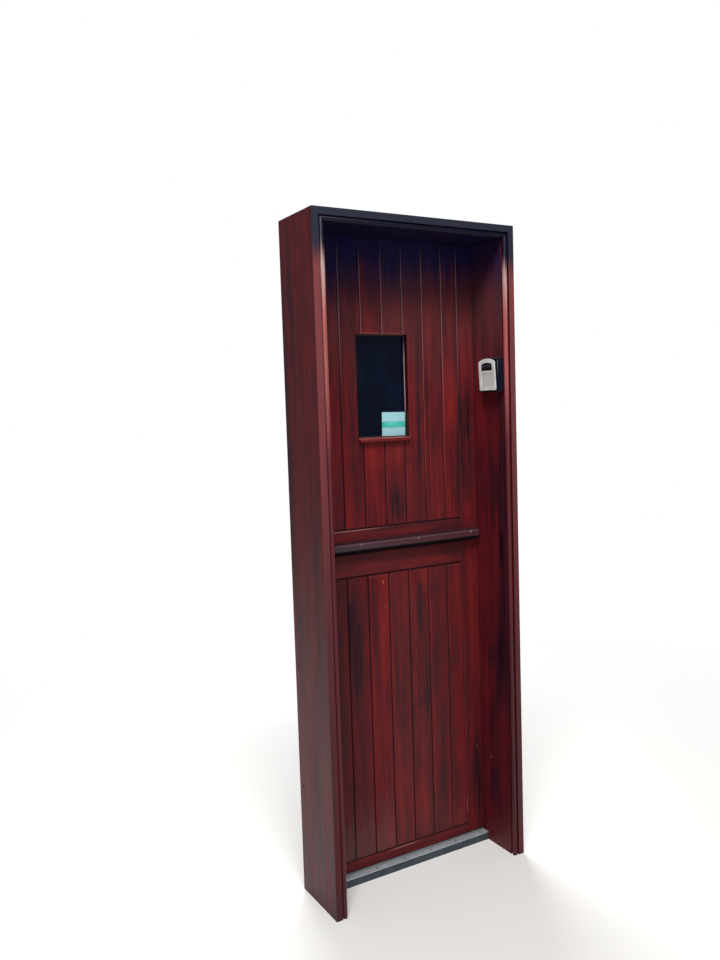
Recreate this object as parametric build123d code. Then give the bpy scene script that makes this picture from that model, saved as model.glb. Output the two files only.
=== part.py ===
from build123d import *
import os
from math import sqrt

# Dutch stable door hung in its own timber frame. Millimetres. +X is right and +Y is into the
# building, as seen from outside, and +Z is up. The origin is in the middle of the doorway, in the
# plane of the leaves' outer faces, at the underside of the threshold.

# Frame
opening_width = 615.0
soffit_height = 1955.0
jamb_thickness = 38.0
lining_depth = 163.0
rebate_depth = 13.0
stop_gap = 1.0
bead_radius = 7.0
quirk_width = 3.5
fixing_hole_radius = 4.0
outer_fixing_heights = (330.0, 1680.0)
inner_fixing_heights = (700.0, 1330.0)

# Threshold
threshold_projection = 30.0
threshold_height = 23.0
strip_thickness = 3.0
strip_screw_setback = 13.0
strip_screw_end = 25.5
strip_screw_pitch = 101.0
strip_screw_count = 6

# Leaves
leaf_thickness = 44.0
side_gap = 3.0
head_gap = 3.0
floor_gap = 3.5
meeting_height = 1023.0
meeting_gap = 3.0
stile_width = 73.0
board_thickness = 18.0
board_cover = 73.8
full_board_count = 5
front_vee = 3.0
back_vee = 1.5
arris_chamfer = 2.0
tongue_thickness = 5.5
tongue_length = 6.0
joint_clearance = 0.3

# Rails: a band is the part of a rail that shows outside, flush with the stiles
lower_bottom_band = 32.5
lower_bottom_rail_height = 150.0
lower_top_band = 77.5
upper_bottom_band = 66.5
rail_lap = 42.0
upper_top_rail_height = 100.0
middle_rail_height = 88.0
tenon_thickness = 12.0
tenon_length = 45.0
tenon_shoulder = 9.0
brace_width = 92.0

# Window
window_width = 182.0
window_rise = 338.0
window_head_drop = 291.0
window_centre = -37.3
glass_thickness = 4.0
glass_cover = 8.0
lining_batten_width = 40.0
glazing_bead_slope = 5.0
glazing_bead_setback = 4.0
sill_thickness = 12.0
sill_projection = 12.0
sill_fall = 4.0

# Drip bar
drip_bar_height = 29.0
drip_bar_projection = 25.0
drip_bar_fall = 6.0
drip_bar_end_gap = 9.0
drip_nose_radius = 3.0
drip_groove_width = 4.0
drip_groove_depth = 3.0
drip_groove_setback = 7.0
drip_screw_drop = 9.0
drip_screw_end = 33.0
drip_screw_pitch = 205.0
drip_screw_count = 3

# Countersunk wood screws
screw_head_radius = 4.0
screw_shank_radius = 1.8
screw_dome = 0.7
screw_countersink = 2.2
strip_screw_length = 18.0
drip_screw_length = 48.0
screw_clearance = 0.1

# Butt hinges
hinge_height = 100.0
hinge_plate_width = 30.0
hinge_plate_thickness = 2.7
knuckle_radius = 5.5
knuckle_count = 5
knuckle_gap = 0.3
knuckle_standoff = 0.5
hinge_pin_radius = 2.5
pin_clearance = 0.05
pin_head_radius = 4.2
pin_head_height = 3.0
hinge_inset = 150.0

# Cylinder deadlock in the lower leaf
lock_rail_gap = 7.0
lock_backset = 45.0
lock_case_depth = 60.0
lock_case_height = 86.0
lock_case_thickness = 14.0
forend_thickness = 2.5
forend_width = 22.0
forend_height = 122.0
deadbolt_height = 24.0
deadbolt_thickness = 10.0
deadbolt_length = 36.0
deadbolt_rise = 24.0
deadbolt_throw = 15.0
cylinder_radius = 8.5
cylinder_tail_width = 10.0
cylinder_tail_drop = 24.5
cylinder_proud = 2.0
plug_radius = 6.5
keyway_width = 2.4
keyway_height = 9.0
keyway_depth = 6.0
turn_length = 26.0
turn_width = 11.0
turn_projection = 18.0
turn_neck = 4.0
escutcheon_width = 30.0
escutcheon_height = 52.0
escutcheon_thickness = 4.0

# Pull handle inside
pull_plate_width = 40.0
pull_plate_height = 236.0
pull_plate_thickness = 3.0
pull_plate_above_lock = 36.0
grip_height = 140.0
grip_reach = 42.0
grip_radius = 6.5
grip_bend = 16.0
grip_inset = 24.0

# Bolt that joins the two leaves
joining_bolt_x = -281.0
bolt_plate_width = 34.0
bolt_plate_height = 150.0
bolt_plate_thickness = 2.5
bolt_plate_inset = 8.0
guide_radius = 9.0
guide_length = 14.0
guide_inset = 6.0
upper_guide_rise = 86.0
bolt_rod_radius = 5.0
bolt_rod_stand_off = 8.5
bolt_running_clearance = 0.1
bolt_throw = 34.0
bolt_tip_inset = 5.0
bolt_rod_spare = 5.0
bolt_knob_height = 74.0
bolt_knob_radius = 7.0
bolt_knob_reach = 20.0
bolt_neck_radius = 3.5
keep_height = 34.0
keep_guide_length = 20.0
keep_clearance = 1.5
keep_inset = 5.0

# Key safe on the right lining. Its sizes run from the foot of its door: across, up and out.
safe_centre_y = -110.5
safe_foot_z = 1494.5
safe_door_width = 81.0
safe_door_shoulder = 90.0
safe_door_crown = 99.0
safe_case_margin = 3.0
safe_case_depth = 25.0
safe_case_wall = 4.0
safe_back_thickness = 2.5
safe_corner = 8.0
safe_door_gap = 0.3
safe_door_top_reach = 35.0
safe_barrel_radius = 2.3
safe_barrel_height = 3.0
safe_pin_radius = 1.25
safe_lug_thickness = 2.7
safe_edge_fillet = 1.6
safe_panel_width = 60.0
safe_panel_low = 13.0
safe_panel_high = 56.0
safe_panel_depth = 0.9
dial_window_width = 52.0
dial_window_low = 62.2
dial_window_side = 82.0
dial_window_crown = 86.5
dial_pocket_margin = 4.5
dial_pocket_floor = 29.5
bezel_face = 33.0
bezel_flange = 3.0
bezel_flange_thickness = 2.0
dial_count = 4
dial_radius = 7.5
dial_width = 7.2
dial_pitch = 9.6
dial_height = 76.0
dial_proud = 1.5
dial_notch_radius = 0.9
dial_positions = 10
dial_axle_radius = 2.0
axle_lug_thickness = 3.0
axle_lug_offset = 22.0
axle_lug_half_height = 4.0
axle_lug_reach = 6.0
release_width = 30.0
release_height = 3.4
release_low = 64.0
release_proud = 1.4
release_flange = 2.0
release_flange_thickness = 1.6

# Positions that follow from the sizes above
half_opening = opening_width / 2
half_outer = half_opening + jamb_thickness
outer_height = soffit_height + jamb_thickness
frame_front = -lining_depth
half_rebate = half_opening + rebate_depth
half_leaf = half_rebate - side_gap
half_panel = half_leaf - stile_width
strip_top = threshold_height + strip_thickness
lower_bottom = strip_top + floor_gap
lower_top = meeting_height - meeting_gap / 2
upper_bottom = meeting_height + meeting_gap / 2
upper_top = soffit_height + rebate_depth - head_gap
tongue_front = (board_thickness - tongue_thickness) / 2
tongue_back = tongue_front + tongue_thickness
rail_middle_y = (board_thickness + leaf_thickness) / 2
lower_boards_low = lower_bottom + lower_bottom_band
lower_boards_high = lower_top - lower_top_band
lower_bottom_rail_top = lower_bottom + lower_bottom_rail_height
lower_top_rail_foot = lower_boards_high - rail_lap
window_left = window_centre - window_width / 2
window_right = window_centre + window_width / 2
window_base = meeting_height + window_rise
window_cut_base = window_base - sill_thickness
window_top = upper_top - window_head_drop
hinge_x = (half_leaf + half_rebate) / 2
hinge_y = leaf_thickness + knuckle_radius + knuckle_standoff
lower_hinge_heights = (lower_bottom + hinge_inset, lower_top - hinge_inset)
upper_hinge_heights = (upper_bottom + hinge_inset, upper_top - hinge_inset)
lock_x = -half_leaf + lock_backset
lock_y = leaf_thickness / 2
lock_middle = lower_top_rail_foot - lock_rail_gap - lock_case_height / 2
lock_height = lock_middle - deadbolt_rise / 2
bolt_y = leaf_thickness + bolt_plate_thickness + bolt_rod_stand_off
guides_top = bolt_plate_inset + upper_guide_rise + guide_length
bolt_rod_length = guides_top - bolt_tip_inset + bolt_throw + bolt_rod_spare
safe_barrel_reach = safe_case_depth + safe_door_gap + safe_barrel_radius
dial_reach = bezel_face + dial_proud - dial_radius


# Helpers

def span(x_range, y_range, z_range):
    """A block between two corners."""
    sizes = [high - low for low, high in (x_range, y_range, z_range)]
    middles = [(high + low) / 2 for low, high in (x_range, y_range, z_range)]
    return Pos(*middles) * Box(*sizes)


def patch(x_range, y_range):
    """A rectangle between two corners, in sketch coordinates."""
    return Pos(sum(x_range) / 2, sum(y_range) / 2) * Rectangle(
        x_range[1] - x_range[0], y_range[1] - y_range[0])


def outline(points):
    return make_face(Polyline(*points, close=True))


def upright(sketch, low, high):
    """Extrude a plan, drawn in X and Y, from one height to another."""
    return extrude(Pos(0, 0, low) * sketch, amount=high - low)


def along_x(sketch, start, end):
    """Extrude a section drawn in Y and Z along X."""
    return extrude(Plane.YZ.offset(start) * sketch, amount=end - start)


def along_y(sketch, start, end):
    """Extrude a face drawn in X and Z along Y."""
    elevation = Plane(origin=(0, start, 0), x_dir=(1, 0, 0), z_dir=(0, -1, 0))
    return extrude(elevation * sketch, amount=start - end)


def screw(length, extra=0.0):
    """A countersunk wood screw along -Z with its head at the origin, or with extra its hole."""
    head = screw_head_radius + extra
    shank = screw_shank_radius + extra
    rim = Line((head, 0), (shank, -screw_countersink))
    side = Line(rim @ 1, (shank, -length - extra))
    tip = Line(side @ 1, (0, -length - extra))
    core = Line(tip @ 1, (0, screw_dome))
    dome = ThreePointArc(core @ 1, (head * 0.6, screw_dome * 0.68), rim @ 0)
    return revolve(Plane.XZ * make_face([rim, side, tip, core, dome]), Axis.Z)


# Frame

def frame_section():
    """Rebated jamb section: X runs out from the lining face, Y from the front to the back."""
    quirk_end = 2 * bead_radius + quirk_width
    front_quirk = patch((0, quirk_end), (frame_front, frame_front + bead_radius))
    side_quirk = patch((0, bead_radius), (frame_front, frame_front + quirk_end))
    section = patch((0, jamb_thickness), (frame_front, leaf_thickness))
    section -= patch((0, rebate_depth), (-stop_gap, leaf_thickness))
    section -= front_quirk + side_quirk
    section += Pos(bead_radius, frame_front + bead_radius) * Circle(bead_radius)
    return section


def mitre_wedge(keeps_jamb):
    """What the 45 degree mitre at the right corner takes from the jamb or from the head."""
    inner = (half_opening - jamb_thickness, soffit_height - jamb_thickness)
    outer = (half_outer + jamb_thickness, outer_height + jamb_thickness)
    third = (inner[0], outer[1]) if keeps_jamb else (outer[0], inner[1])
    return along_y(outline([inner, outer, third]), frame_front - 1, leaf_thickness + 1)


def fixing_holes():
    """Holes through the jamb in the rebate, which the closed leaves cover."""
    heights = outer_fixing_heights + inner_fixing_heights
    centre_x = (half_rebate + half_outer) / 2
    hole = Rot(0, 90, 0) * Cylinder(fixing_hole_radius, 2 * jamb_thickness)
    return [Pos(centre_x, leaf_thickness / 2, height) * hole for height in heights]


def jamb():
    """The right jamb before its hinge recesses are cut."""
    solid = upright(Pos(half_opening, 0) * frame_section(), 0, outer_height)
    solid -= mitre_wedge(keeps_jamb=True)
    for hole in fixing_holes():
        solid -= hole
    return solid


def jamb_right():
    solid = jamb()
    for height in lower_hinge_heights + upper_hinge_heights:
        solid -= span((half_rebate - 1, half_rebate + hinge_plate_thickness),
                      (leaf_thickness - hinge_plate_width, leaf_thickness + 1),
                      (height - hinge_height / 2, height + hinge_height / 2))
    return solid


def jamb_left():
    solid = mirror(jamb(), about=Plane.YZ)
    solid -= strike_recess()
    solid -= strike_pocket()
    return solid


def frame_head():
    start = Plane(origin=(half_outer, 0, soffit_height), x_dir=(0, 0, 1), z_dir=(-1, 0, 0))
    solid = extrude(start * frame_section(), amount=2 * half_outer)
    wedge = mitre_wedge(keeps_jamb=False)
    return solid - wedge - mirror(wedge, about=Plane.YZ)


# Threshold

def threshold_plan():
    """Between the linings in front, and into the rebates under the leaves."""
    plan = patch((-half_opening, half_opening), (-threshold_projection, leaf_thickness))
    return plan + patch((-half_rebate, half_rebate), (-stop_gap, leaf_thickness))


def strip_screw_places():
    first = half_opening - strip_screw_end
    depth = -threshold_projection + strip_screw_setback
    return [Pos(first - index * strip_screw_pitch, depth, strip_top)
            for index in range(strip_screw_count)]


def threshold():
    solid = upright(threshold_plan(), 0, threshold_height)
    for place in strip_screw_places():
        solid -= place * screw(strip_screw_length, screw_clearance)
    return solid


def threshold_strip():
    solid = upright(threshold_plan(), threshold_height, strip_top)
    for place in strip_screw_places():
        solid -= place * screw(strip_screw_length, screw_clearance)
    return solid


def threshold_screws():
    return [place * screw(strip_screw_length) for place in strip_screw_places()]


# Boards, stiles and rails

def board_joints():
    """X of every joint, from the left stile to the right one: the outer boards are cut narrower."""
    first = -full_board_count * board_cover / 2
    inner = [first + index * board_cover for index in range(full_board_count + 1)]
    return [-half_panel] + inner + [half_panel]


def board_section(left, right, left_tongue):
    """Tongued, grooved and V-jointed board. The outermost left board has a tongue on each edge."""
    groove = tongue_length + joint_clearance
    points = [
        (left + front_vee, 0), (right - front_vee, 0), (right, front_vee),
        (right, tongue_front), (right + tongue_length, tongue_front),
        (right + tongue_length, tongue_back), (right, tongue_back),
        (right, board_thickness - back_vee), (right - back_vee, board_thickness),
        (left + back_vee, board_thickness), (left, board_thickness - back_vee),
    ]
    if left_tongue:
        points += [(left, tongue_back), (left - tongue_length, tongue_back),
                   (left - tongue_length, tongue_front), (left, tongue_front)]
    else:
        points += [(left, tongue_back + joint_clearance),
                   (left + groove, tongue_back + joint_clearance),
                   (left + groove, tongue_front - joint_clearance),
                   (left, tongue_front - joint_clearance)]
    points.append((left, front_vee))
    return outline(points)


def boards(low, high):
    joints = board_joints()
    pairs = list(zip(joints, joints[1:]))
    return [upright(board_section(left, right, index == 0), low, high)
            for index, (left, right) in enumerate(pairs)]


def tenon(rail_low, rail_high, extra=0.0):
    """The tenon of a rail at its right end, or with extra the mortice for it."""
    half = tenon_thickness / 2 + extra
    return span((half_panel - (0 if extra else tenon_shoulder), half_panel + tenon_length + extra),
                (rail_middle_y - half, rail_middle_y + half),
                (rail_low + tenon_shoulder - extra, rail_high - tenon_shoulder + extra))


def stile(low, high, boards_low, boards_high, rails):
    """Right stile with its groove for the boards and one mortice for each rail."""
    section = outline([
        (half_panel + front_vee, 0), (half_leaf, 0), (half_leaf, leaf_thickness),
        (half_panel, leaf_thickness), (half_panel, front_vee)])
    solid = upright(section, low, high)
    solid -= span((half_panel - 1, half_panel + tongue_length + joint_clearance),
                  (tongue_front - joint_clearance, tongue_back + joint_clearance),
                  (boards_low, boards_high))
    for rail_low, rail_high in rails:
        solid -= tenon(rail_low, rail_high, joint_clearance)
    return solid


def tenoned(section, rail_low, rail_high):
    """A rail section run between the stiles, with a tenon at each end."""
    solid = along_x(section, -half_panel, half_panel)
    right_tenon = tenon(rail_low, rail_high)
    return solid + right_tenon + mirror(right_tenon, about=Plane.YZ)


def banded_rail(edge, band, height, upward):
    """A rail at a leaf's edge. Its band shows outside and the rest runs on behind the boards."""
    def level(distance):
        return edge + distance if upward else edge - distance
    section = outline([
        (0, level(0)), (leaf_thickness, level(0)),
        (leaf_thickness, level(height - arris_chamfer)),
        (leaf_thickness - arris_chamfer, level(height)),
        (board_thickness, level(height)), (board_thickness, level(band)),
        (front_vee, level(band)), (0, level(band - front_vee))])
    low, high = sorted((level(0), level(height)))
    return tenoned(section, low, high)


def ledge(low, high):
    """A thinner rail that lies wholly behind the boards."""
    section = outline([
        (board_thickness, low), (leaf_thickness - arris_chamfer, low),
        (leaf_thickness, low + arris_chamfer), (leaf_thickness, high - arris_chamfer),
        (leaf_thickness - arris_chamfer, high), (board_thickness, high)])
    return tenoned(section, low, high)


def hinge_recesses(heights):
    return [span((half_leaf - hinge_plate_thickness, half_leaf + 1),
                 (leaf_thickness - hinge_plate_width, leaf_thickness + 1),
                 (height - hinge_height / 2, height + hinge_height / 2)) for height in heights]


# Lower leaf

lower_rails = [(lower_bottom, lower_bottom_rail_top), (lower_top_rail_foot, lower_top)]


def lower_stile():
    return stile(lower_bottom, lower_top, lower_boards_low, lower_boards_high, lower_rails)


def lower_stile_right():
    solid = lower_stile()
    for recess in hinge_recesses(lower_hinge_heights):
        solid -= recess
    return solid


def lower_stile_left():
    solid = mirror(lower_stile(), about=Plane.YZ)
    solid -= forend_block(joint_clearance)
    solid -= lock_case_block(joint_clearance)
    solid -= along_y(euro_profile(joint_clearance), -1, leaf_thickness + 1)
    return solid


def lower_brace():
    """Diagonal brace from the foot of the hinge stile to the head of the lock stile."""
    width = 2 * half_panel
    height = lower_top_rail_foot - lower_bottom_rail_top
    spare = height ** 2 - brace_width ** 2
    slant = brace_width ** 2 * width
    foot = (sqrt(slant ** 2 + spare * brace_width ** 2 * (width ** 2 + height ** 2)) - slant) / spare
    face = outline([
        (half_panel, lower_bottom_rail_top), (half_panel - foot, lower_bottom_rail_top),
        (-half_panel, lower_top_rail_foot), (-half_panel + foot, lower_top_rail_foot)])
    return along_y(face, board_thickness, leaf_thickness - arris_chamfer)


# Upper leaf

upper_boards_low = upper_bottom + upper_bottom_band
upper_bottom_rail_top = upper_boards_low + rail_lap
glass_left = window_left - glass_cover
glass_right = window_right + glass_cover
glass_low = window_cut_base - glass_cover
glass_high = window_top + glass_cover
glass_front = board_thickness + joint_clearance
glass_back = glass_front + glass_thickness
batten_inner = glass_cover + 2 * joint_clearance
batten_outer = batten_inner + lining_batten_width
middle_rail_top = window_cut_base - batten_outer
middle_rail_foot = middle_rail_top - middle_rail_height
upper_top_rail_foot = upper_top - upper_top_rail_height
upper_rails = [(upper_bottom, upper_bottom_rail_top), (middle_rail_foot, middle_rail_top),
               (upper_top_rail_foot, upper_top)]


def upper_boards():
    opening = span((window_left, window_right), (-1, board_thickness + 1),
                   (window_cut_base, window_top))
    return [board - opening for board in boards(upper_boards_low, upper_top)]


def drip_screw_places():
    """Places on the bar's front, with the screw heads facing out."""
    bar_half = half_opening - drip_bar_end_gap
    first = bar_half - drip_screw_end
    reach = [first - index * drip_screw_pitch for index in range(drip_screw_count)]
    height = upper_bottom + drip_bar_height - drip_screw_drop
    return [Pos(x, -drip_bar_projection, height) * Rot(90, 0, 0) for x in reach + [-first]]


def with_drip_holes(solid):
    for place in drip_screw_places():
        solid -= place * screw(drip_screw_length, screw_clearance)
    return solid


def upper_stile():
    return stile(upper_bottom, upper_top, upper_boards_low, upper_top, upper_rails)


def upper_stile_right():
    solid = with_drip_holes(upper_stile())
    for recess in hinge_recesses(upper_hinge_heights):
        solid -= recess
    return solid


def upper_stile_left():
    return with_drip_holes(mirror(upper_stile(), about=Plane.YZ))


def upper_bottom_rail():
    height = upper_bottom_band + rail_lap
    return with_drip_holes(banded_rail(upper_bottom, upper_bottom_band, height, upward=True))


def drip_bar():
    top = upper_bottom + drip_bar_height
    section = outline([
        (0, upper_bottom), (0, top), (-drip_bar_projection, top - drip_bar_fall),
        (-drip_bar_projection, upper_bottom)])
    section = fillet(section.vertices().group_by(Axis.X)[0], drip_nose_radius)
    groove_front = -drip_bar_projection + drip_groove_setback
    section -= patch((groove_front, groove_front + drip_groove_width),
                     (upper_bottom - 1, upper_bottom + drip_groove_depth))
    bar_half = half_opening - drip_bar_end_gap
    return with_drip_holes(along_x(section, -bar_half, bar_half))


def window_lining():
    """Four battens behind the boards, round the glass."""
    left, right = window_left - batten_outer, window_right + batten_outer
    inner_left, inner_right = window_left - batten_inner, window_right + batten_inner
    low, high = window_cut_base - batten_outer, window_top + batten_outer
    inner_low, inner_high = window_cut_base - batten_inner, window_top + batten_inner
    depth = (board_thickness, leaf_thickness)
    return [span((left, inner_left), depth, (low, high)),
            span((inner_right, right), depth, (low, high)),
            span((inner_left, inner_right), depth, (low, inner_low)),
            span((inner_left, inner_right), depth, (inner_high, high))]


def window_glass():
    return span((glass_left, glass_right), (glass_front, glass_back), (glass_low, glass_high))


def window_beads():
    """Four mitred glazing beads that hold the glass from inside, sloped towards it."""
    outer = (window_left - batten_inner, window_right + batten_inner,
             window_cut_base - batten_inner, window_top + batten_inner)
    sight = (window_left, window_right, window_cut_base, window_top)
    cut_back = (sight[0] - glazing_bead_slope, sight[1] + glazing_bead_slope,
                sight[2] - glazing_bead_slope, sight[3] + glazing_bead_slope)
    front = glass_back + joint_clearance
    back = leaf_thickness - glazing_bead_setback

    def ring_side(side, inner, depth):
        outer_corners = corners(outer)
        inner_corners = corners(inner)
        following = (side + 1) % 4
        points = [outer_corners[side], outer_corners[following],
                  inner_corners[following], inner_corners[side]]
        return make_face(Polyline(*[(x, depth, z) for x, z in points], close=True))

    def corners(box):
        left, right, low, high = box
        return [(left, low), (right, low), (right, high), (left, high)]

    return [loft([ring_side(side, sight, front), ring_side(side, cut_back, back)], ruled=True)
            for side in range(4)]


def window_sill():
    """Sill in the foot of the window's cut-out, with a nose that throws water clear."""
    nose = -sill_projection
    section = outline([
        (board_thickness, window_cut_base), (board_thickness, window_base + sill_fall / 2),
        (nose, window_base - sill_fall / 2), (nose, window_cut_base)])
    section = fillet(section.vertices().group_by(Axis.X)[0], sill_thickness / 4)
    return along_x(section, window_left + joint_clearance, window_right - joint_clearance)


# Hinges

def knuckle_spans(height):
    length = hinge_height / knuckle_count
    base = height - hinge_height / 2
    return [(base + index * length + knuckle_gap / 2, base + (index + 1) * length - knuckle_gap / 2)
            for index in range(knuckle_count)]


def hinge_leaf(height, on_frame):
    """One half of a butt hinge: the plate let into the timber, and its own knuckles."""
    if on_frame:
        plate_x = (half_rebate, half_rebate + hinge_plate_thickness)
        mine = knuckle_spans(height)[0::2]
    else:
        plate_x = (half_leaf - hinge_plate_thickness, half_leaf)
        mine = knuckle_spans(height)[1::2]
    solid = span(plate_x, (leaf_thickness - hinge_plate_width, leaf_thickness),
                 (height - hinge_height / 2, height + hinge_height / 2))
    barrel = Pos(hinge_x, hinge_y) * Circle(knuckle_radius)
    bore = Pos(hinge_x, hinge_y) * Circle(hinge_pin_radius + pin_clearance)
    for low, high in mine:
        plan = barrel + patch(plate_x, (leaf_thickness, hinge_y))
        solid += upright(plan, low, high)
        solid -= upright(bore, low - 1, high + 1)
    return solid


def hinge_pin(height):
    half = hinge_height / 2
    pin = Pos(hinge_x, hinge_y, height) * Cylinder(hinge_pin_radius, hinge_height)
    head = Circle(pin_head_radius)
    for foot in (height - half - pin_head_height, height + half):
        cap = upright(Pos(hinge_x, hinge_y) * head, foot, foot + pin_head_height)
        pin += chamfer(cap.edges().filter_by(GeomType.CIRCLE), pin_head_height / 4)
    return pin


# Lock

def euro_profile(extra=0.0):
    """Round top and narrow tail of a profile cylinder, drawn in X and Z."""
    half = cylinder_tail_width / 2
    tail = patch((-half - extra, half + extra), (-cylinder_tail_drop + half, 0))
    foot = Pos(0, -cylinder_tail_drop + half) * Circle(half + extra)
    return Pos(lock_x, lock_height) * (Circle(cylinder_radius + extra) + tail + foot)


def forend_block(extra=0.0):
    half_width = forend_width / 2 + extra
    half_height = forend_height / 2 + extra
    return span((-half_leaf - (1 if extra else 0), -half_leaf + forend_thickness),
                (lock_y - half_width, lock_y + half_width),
                (lock_middle - half_height, lock_middle + half_height))


def lock_case_block(extra=0.0):
    half_thickness = lock_case_thickness / 2 + extra
    half_height = lock_case_height / 2 + extra
    return span((-half_leaf + forend_thickness / 2, -half_leaf + lock_case_depth + extra),
                (lock_y - half_thickness, lock_y + half_thickness),
                (lock_middle - half_height, lock_middle + half_height))


def deadbolt_block(start, end, extra=0.0):
    middle = lock_height + deadbolt_rise
    half_thickness = deadbolt_thickness / 2 + extra
    half_height = deadbolt_height / 2 + extra
    return span((start, end), (lock_y - half_thickness, lock_y + half_thickness),
                (middle - half_height, middle + half_height))


def lock_case():
    solid = forend_block() + lock_case_block()
    solid -= along_y(euro_profile(joint_clearance), -1, leaf_thickness + 1)
    solid -= deadbolt_block(-half_leaf - 1, -half_leaf + deadbolt_length + 1, joint_clearance)
    return solid


def lock_bolt():
    solid = deadbolt_block(-half_leaf, -half_leaf + deadbolt_length)
    nose = solid.faces().sort_by(Axis.X)[0].edges()
    return chamfer(nose, 1.0)


def lock_cylinder():
    inner_end = leaf_thickness + pull_plate_thickness + cylinder_proud
    outer_end = -escutcheon_thickness - cylinder_proud
    solid = along_y(euro_profile(), outer_end, inner_end)
    bore = Pos(lock_x, lock_height) * Circle(plug_radius + pin_clearance)
    return solid - along_y(bore, outer_end - 1, inner_end + 1)


def lock_turn():
    """The plug through the cylinder, with a keyway outside and a thumb turn inside."""
    inner_end = leaf_thickness + pull_plate_thickness + cylinder_proud
    outer_end = -escutcheon_thickness - cylinder_proud
    neck_end = inner_end + turn_neck
    solid = along_y(Pos(lock_x, lock_height) * Circle(plug_radius), outer_end, neck_end)
    grip = Pos(lock_x, lock_height) * SlotOverall(turn_length, turn_width)
    thumb = along_y(grip, neck_end, neck_end + turn_projection)
    solid += fillet(thumb.faces().sort_by(Axis.Y)[-1].edges(), turn_width / 5)
    keyway = Pos(lock_x, lock_height) * Rectangle(keyway_width, keyway_height)
    return solid - along_y(keyway, outer_end - 1, outer_end + keyway_depth)


def lock_escutcheon():
    face = Pos(lock_x, lock_height - cylinder_tail_drop / 3) * RectangleRounded(
        escutcheon_width, escutcheon_height, escutcheon_width / 2 - 1)
    solid = along_y(face, -escutcheon_thickness, 0)
    solid = fillet(solid.faces().sort_by(Axis.Y)[0].edges(), escutcheon_thickness / 2)
    return solid - along_y(euro_profile(joint_clearance), -escutcheon_thickness - 1, 1)


def strike_block(end, extra):
    """The strike plate's outline, let into the left jamb as deep as the plate is thick."""
    half_width = forend_width / 2 + extra
    half_height = forend_height / 2 + extra
    return span((-half_rebate - forend_thickness, end),
                (lock_y - half_width, lock_y + half_width),
                (lock_middle - half_height, lock_middle + half_height))


def strike_recess():
    return strike_block(-half_rebate + 1, joint_clearance)


def strike_pocket():
    """The room behind the strike plate for the thrown bolt."""
    deepest = -half_leaf - deadbolt_throw - 2
    return deadbolt_block(deepest, -half_rebate + 1, 1.0)


def lock_strike():
    return strike_block(-half_rebate, 0) - strike_pocket()


def pull_handle():
    """Bent round grip on a long plate that also frames the inside of the lock cylinder."""
    plate_face = leaf_thickness + pull_plate_thickness
    high = lock_height + pull_plate_above_lock
    low = high - pull_plate_height
    face = Pos(lock_x, (low + high) / 2) * RectangleRounded(
        pull_plate_width, pull_plate_height, pull_plate_width / 4)
    solid = along_y(face, leaf_thickness, plate_face)
    grip_low = low + grip_inset
    grip_high = grip_low + grip_height
    root = leaf_thickness + pull_plate_thickness / 2
    reach = plate_face + grip_reach
    path = FilletPolyline((lock_x, root, grip_low), (lock_x, reach, grip_low),
                          (lock_x, reach, grip_high), (lock_x, root, grip_high), radius=grip_bend)
    grip = sweep(Plane(origin=path @ 0, z_dir=path % 0) * Circle(grip_radius), path=path)
    solid += grip
    return solid - along_y(euro_profile(joint_clearance), leaf_thickness - 1, plate_face + 1)


# Bolt that joins the leaves

def bolt_guide(low, high, bore_radius):
    """A D-shaped guide standing on its plate, with a bore for the rod."""
    seat = leaf_thickness + bolt_plate_thickness
    plan = patch((joining_bolt_x - guide_radius, joining_bolt_x + guide_radius), (seat, bolt_y))
    plan += Pos(joining_bolt_x, bolt_y) * Circle(guide_radius)
    plan -= Pos(joining_bolt_x, bolt_y) * Circle(bore_radius)
    return upright(plan, low, high)


def bolt_plate(low, high):
    face = Pos(joining_bolt_x, (low + high) / 2) * RectangleRounded(
        bolt_plate_width, high - low, bolt_plate_width / 6)
    return along_y(face, leaf_thickness, leaf_thickness + bolt_plate_thickness)


def joining_bolt_case():
    low = upper_bottom + bolt_plate_inset
    high = low + bolt_plate_height
    bore = bolt_rod_radius + bolt_running_clearance
    solid = bolt_plate(low, high)
    solid += bolt_guide(low + guide_inset, low + guide_inset + guide_length, bore)
    solid += bolt_guide(low + upper_guide_rise, low + upper_guide_rise + guide_length, bore)
    return solid


def joining_bolt_rod():
    """Drawn up, clear of the lower leaf, with a turned knob on a neck."""
    low = upper_bottom + bolt_tip_inset
    rod = upright(Pos(joining_bolt_x, bolt_y) * Circle(bolt_rod_radius), low, low + bolt_rod_length)
    rod = chamfer(rod.edges().filter_by(GeomType.CIRCLE).group_by(Axis.Z)[0], bolt_rod_radius / 4)
    knob_z = low + bolt_knob_height
    knob_y = bolt_y + bolt_knob_reach
    neck = Pos(joining_bolt_x, knob_z) * Circle(bolt_neck_radius)
    rod += along_y(neck, bolt_y, knob_y)
    return rod + Pos(joining_bolt_x, knob_y, knob_z) * Sphere(bolt_knob_radius)


def joining_bolt_keep():
    high = lower_top - keep_inset
    low = high - keep_height
    middle = (low + high) / 2
    bore = bolt_rod_radius + keep_clearance
    solid = bolt_plate(low, high)
    return solid + bolt_guide(middle - keep_guide_length / 2, middle + keep_guide_length / 2, bore)


# Key safe

def safe_plane(reach):
    """Sketch plane parallel to the lining: X runs into the building and Y runs up."""
    return Plane(origin=(half_opening - reach, safe_centre_y, safe_foot_z),
                 x_dir=(0, 1, 0), z_dir=(1, 0, 0))


def outward(sketch, near, far):
    """Extrude a key safe sketch out from the lining."""
    return extrude(safe_plane(near) * sketch, amount=near - far)


def across(sketch, half_width):
    """Extrude a side profile, drawn as reach and height, both ways across the key safe."""
    side = Plane(origin=(half_opening, safe_centre_y, safe_foot_z), x_dir=(-1, 0, 0),
                 z_dir=(0, 1, 0))
    return extrude(side * sketch, amount=half_width, both=True)


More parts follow.
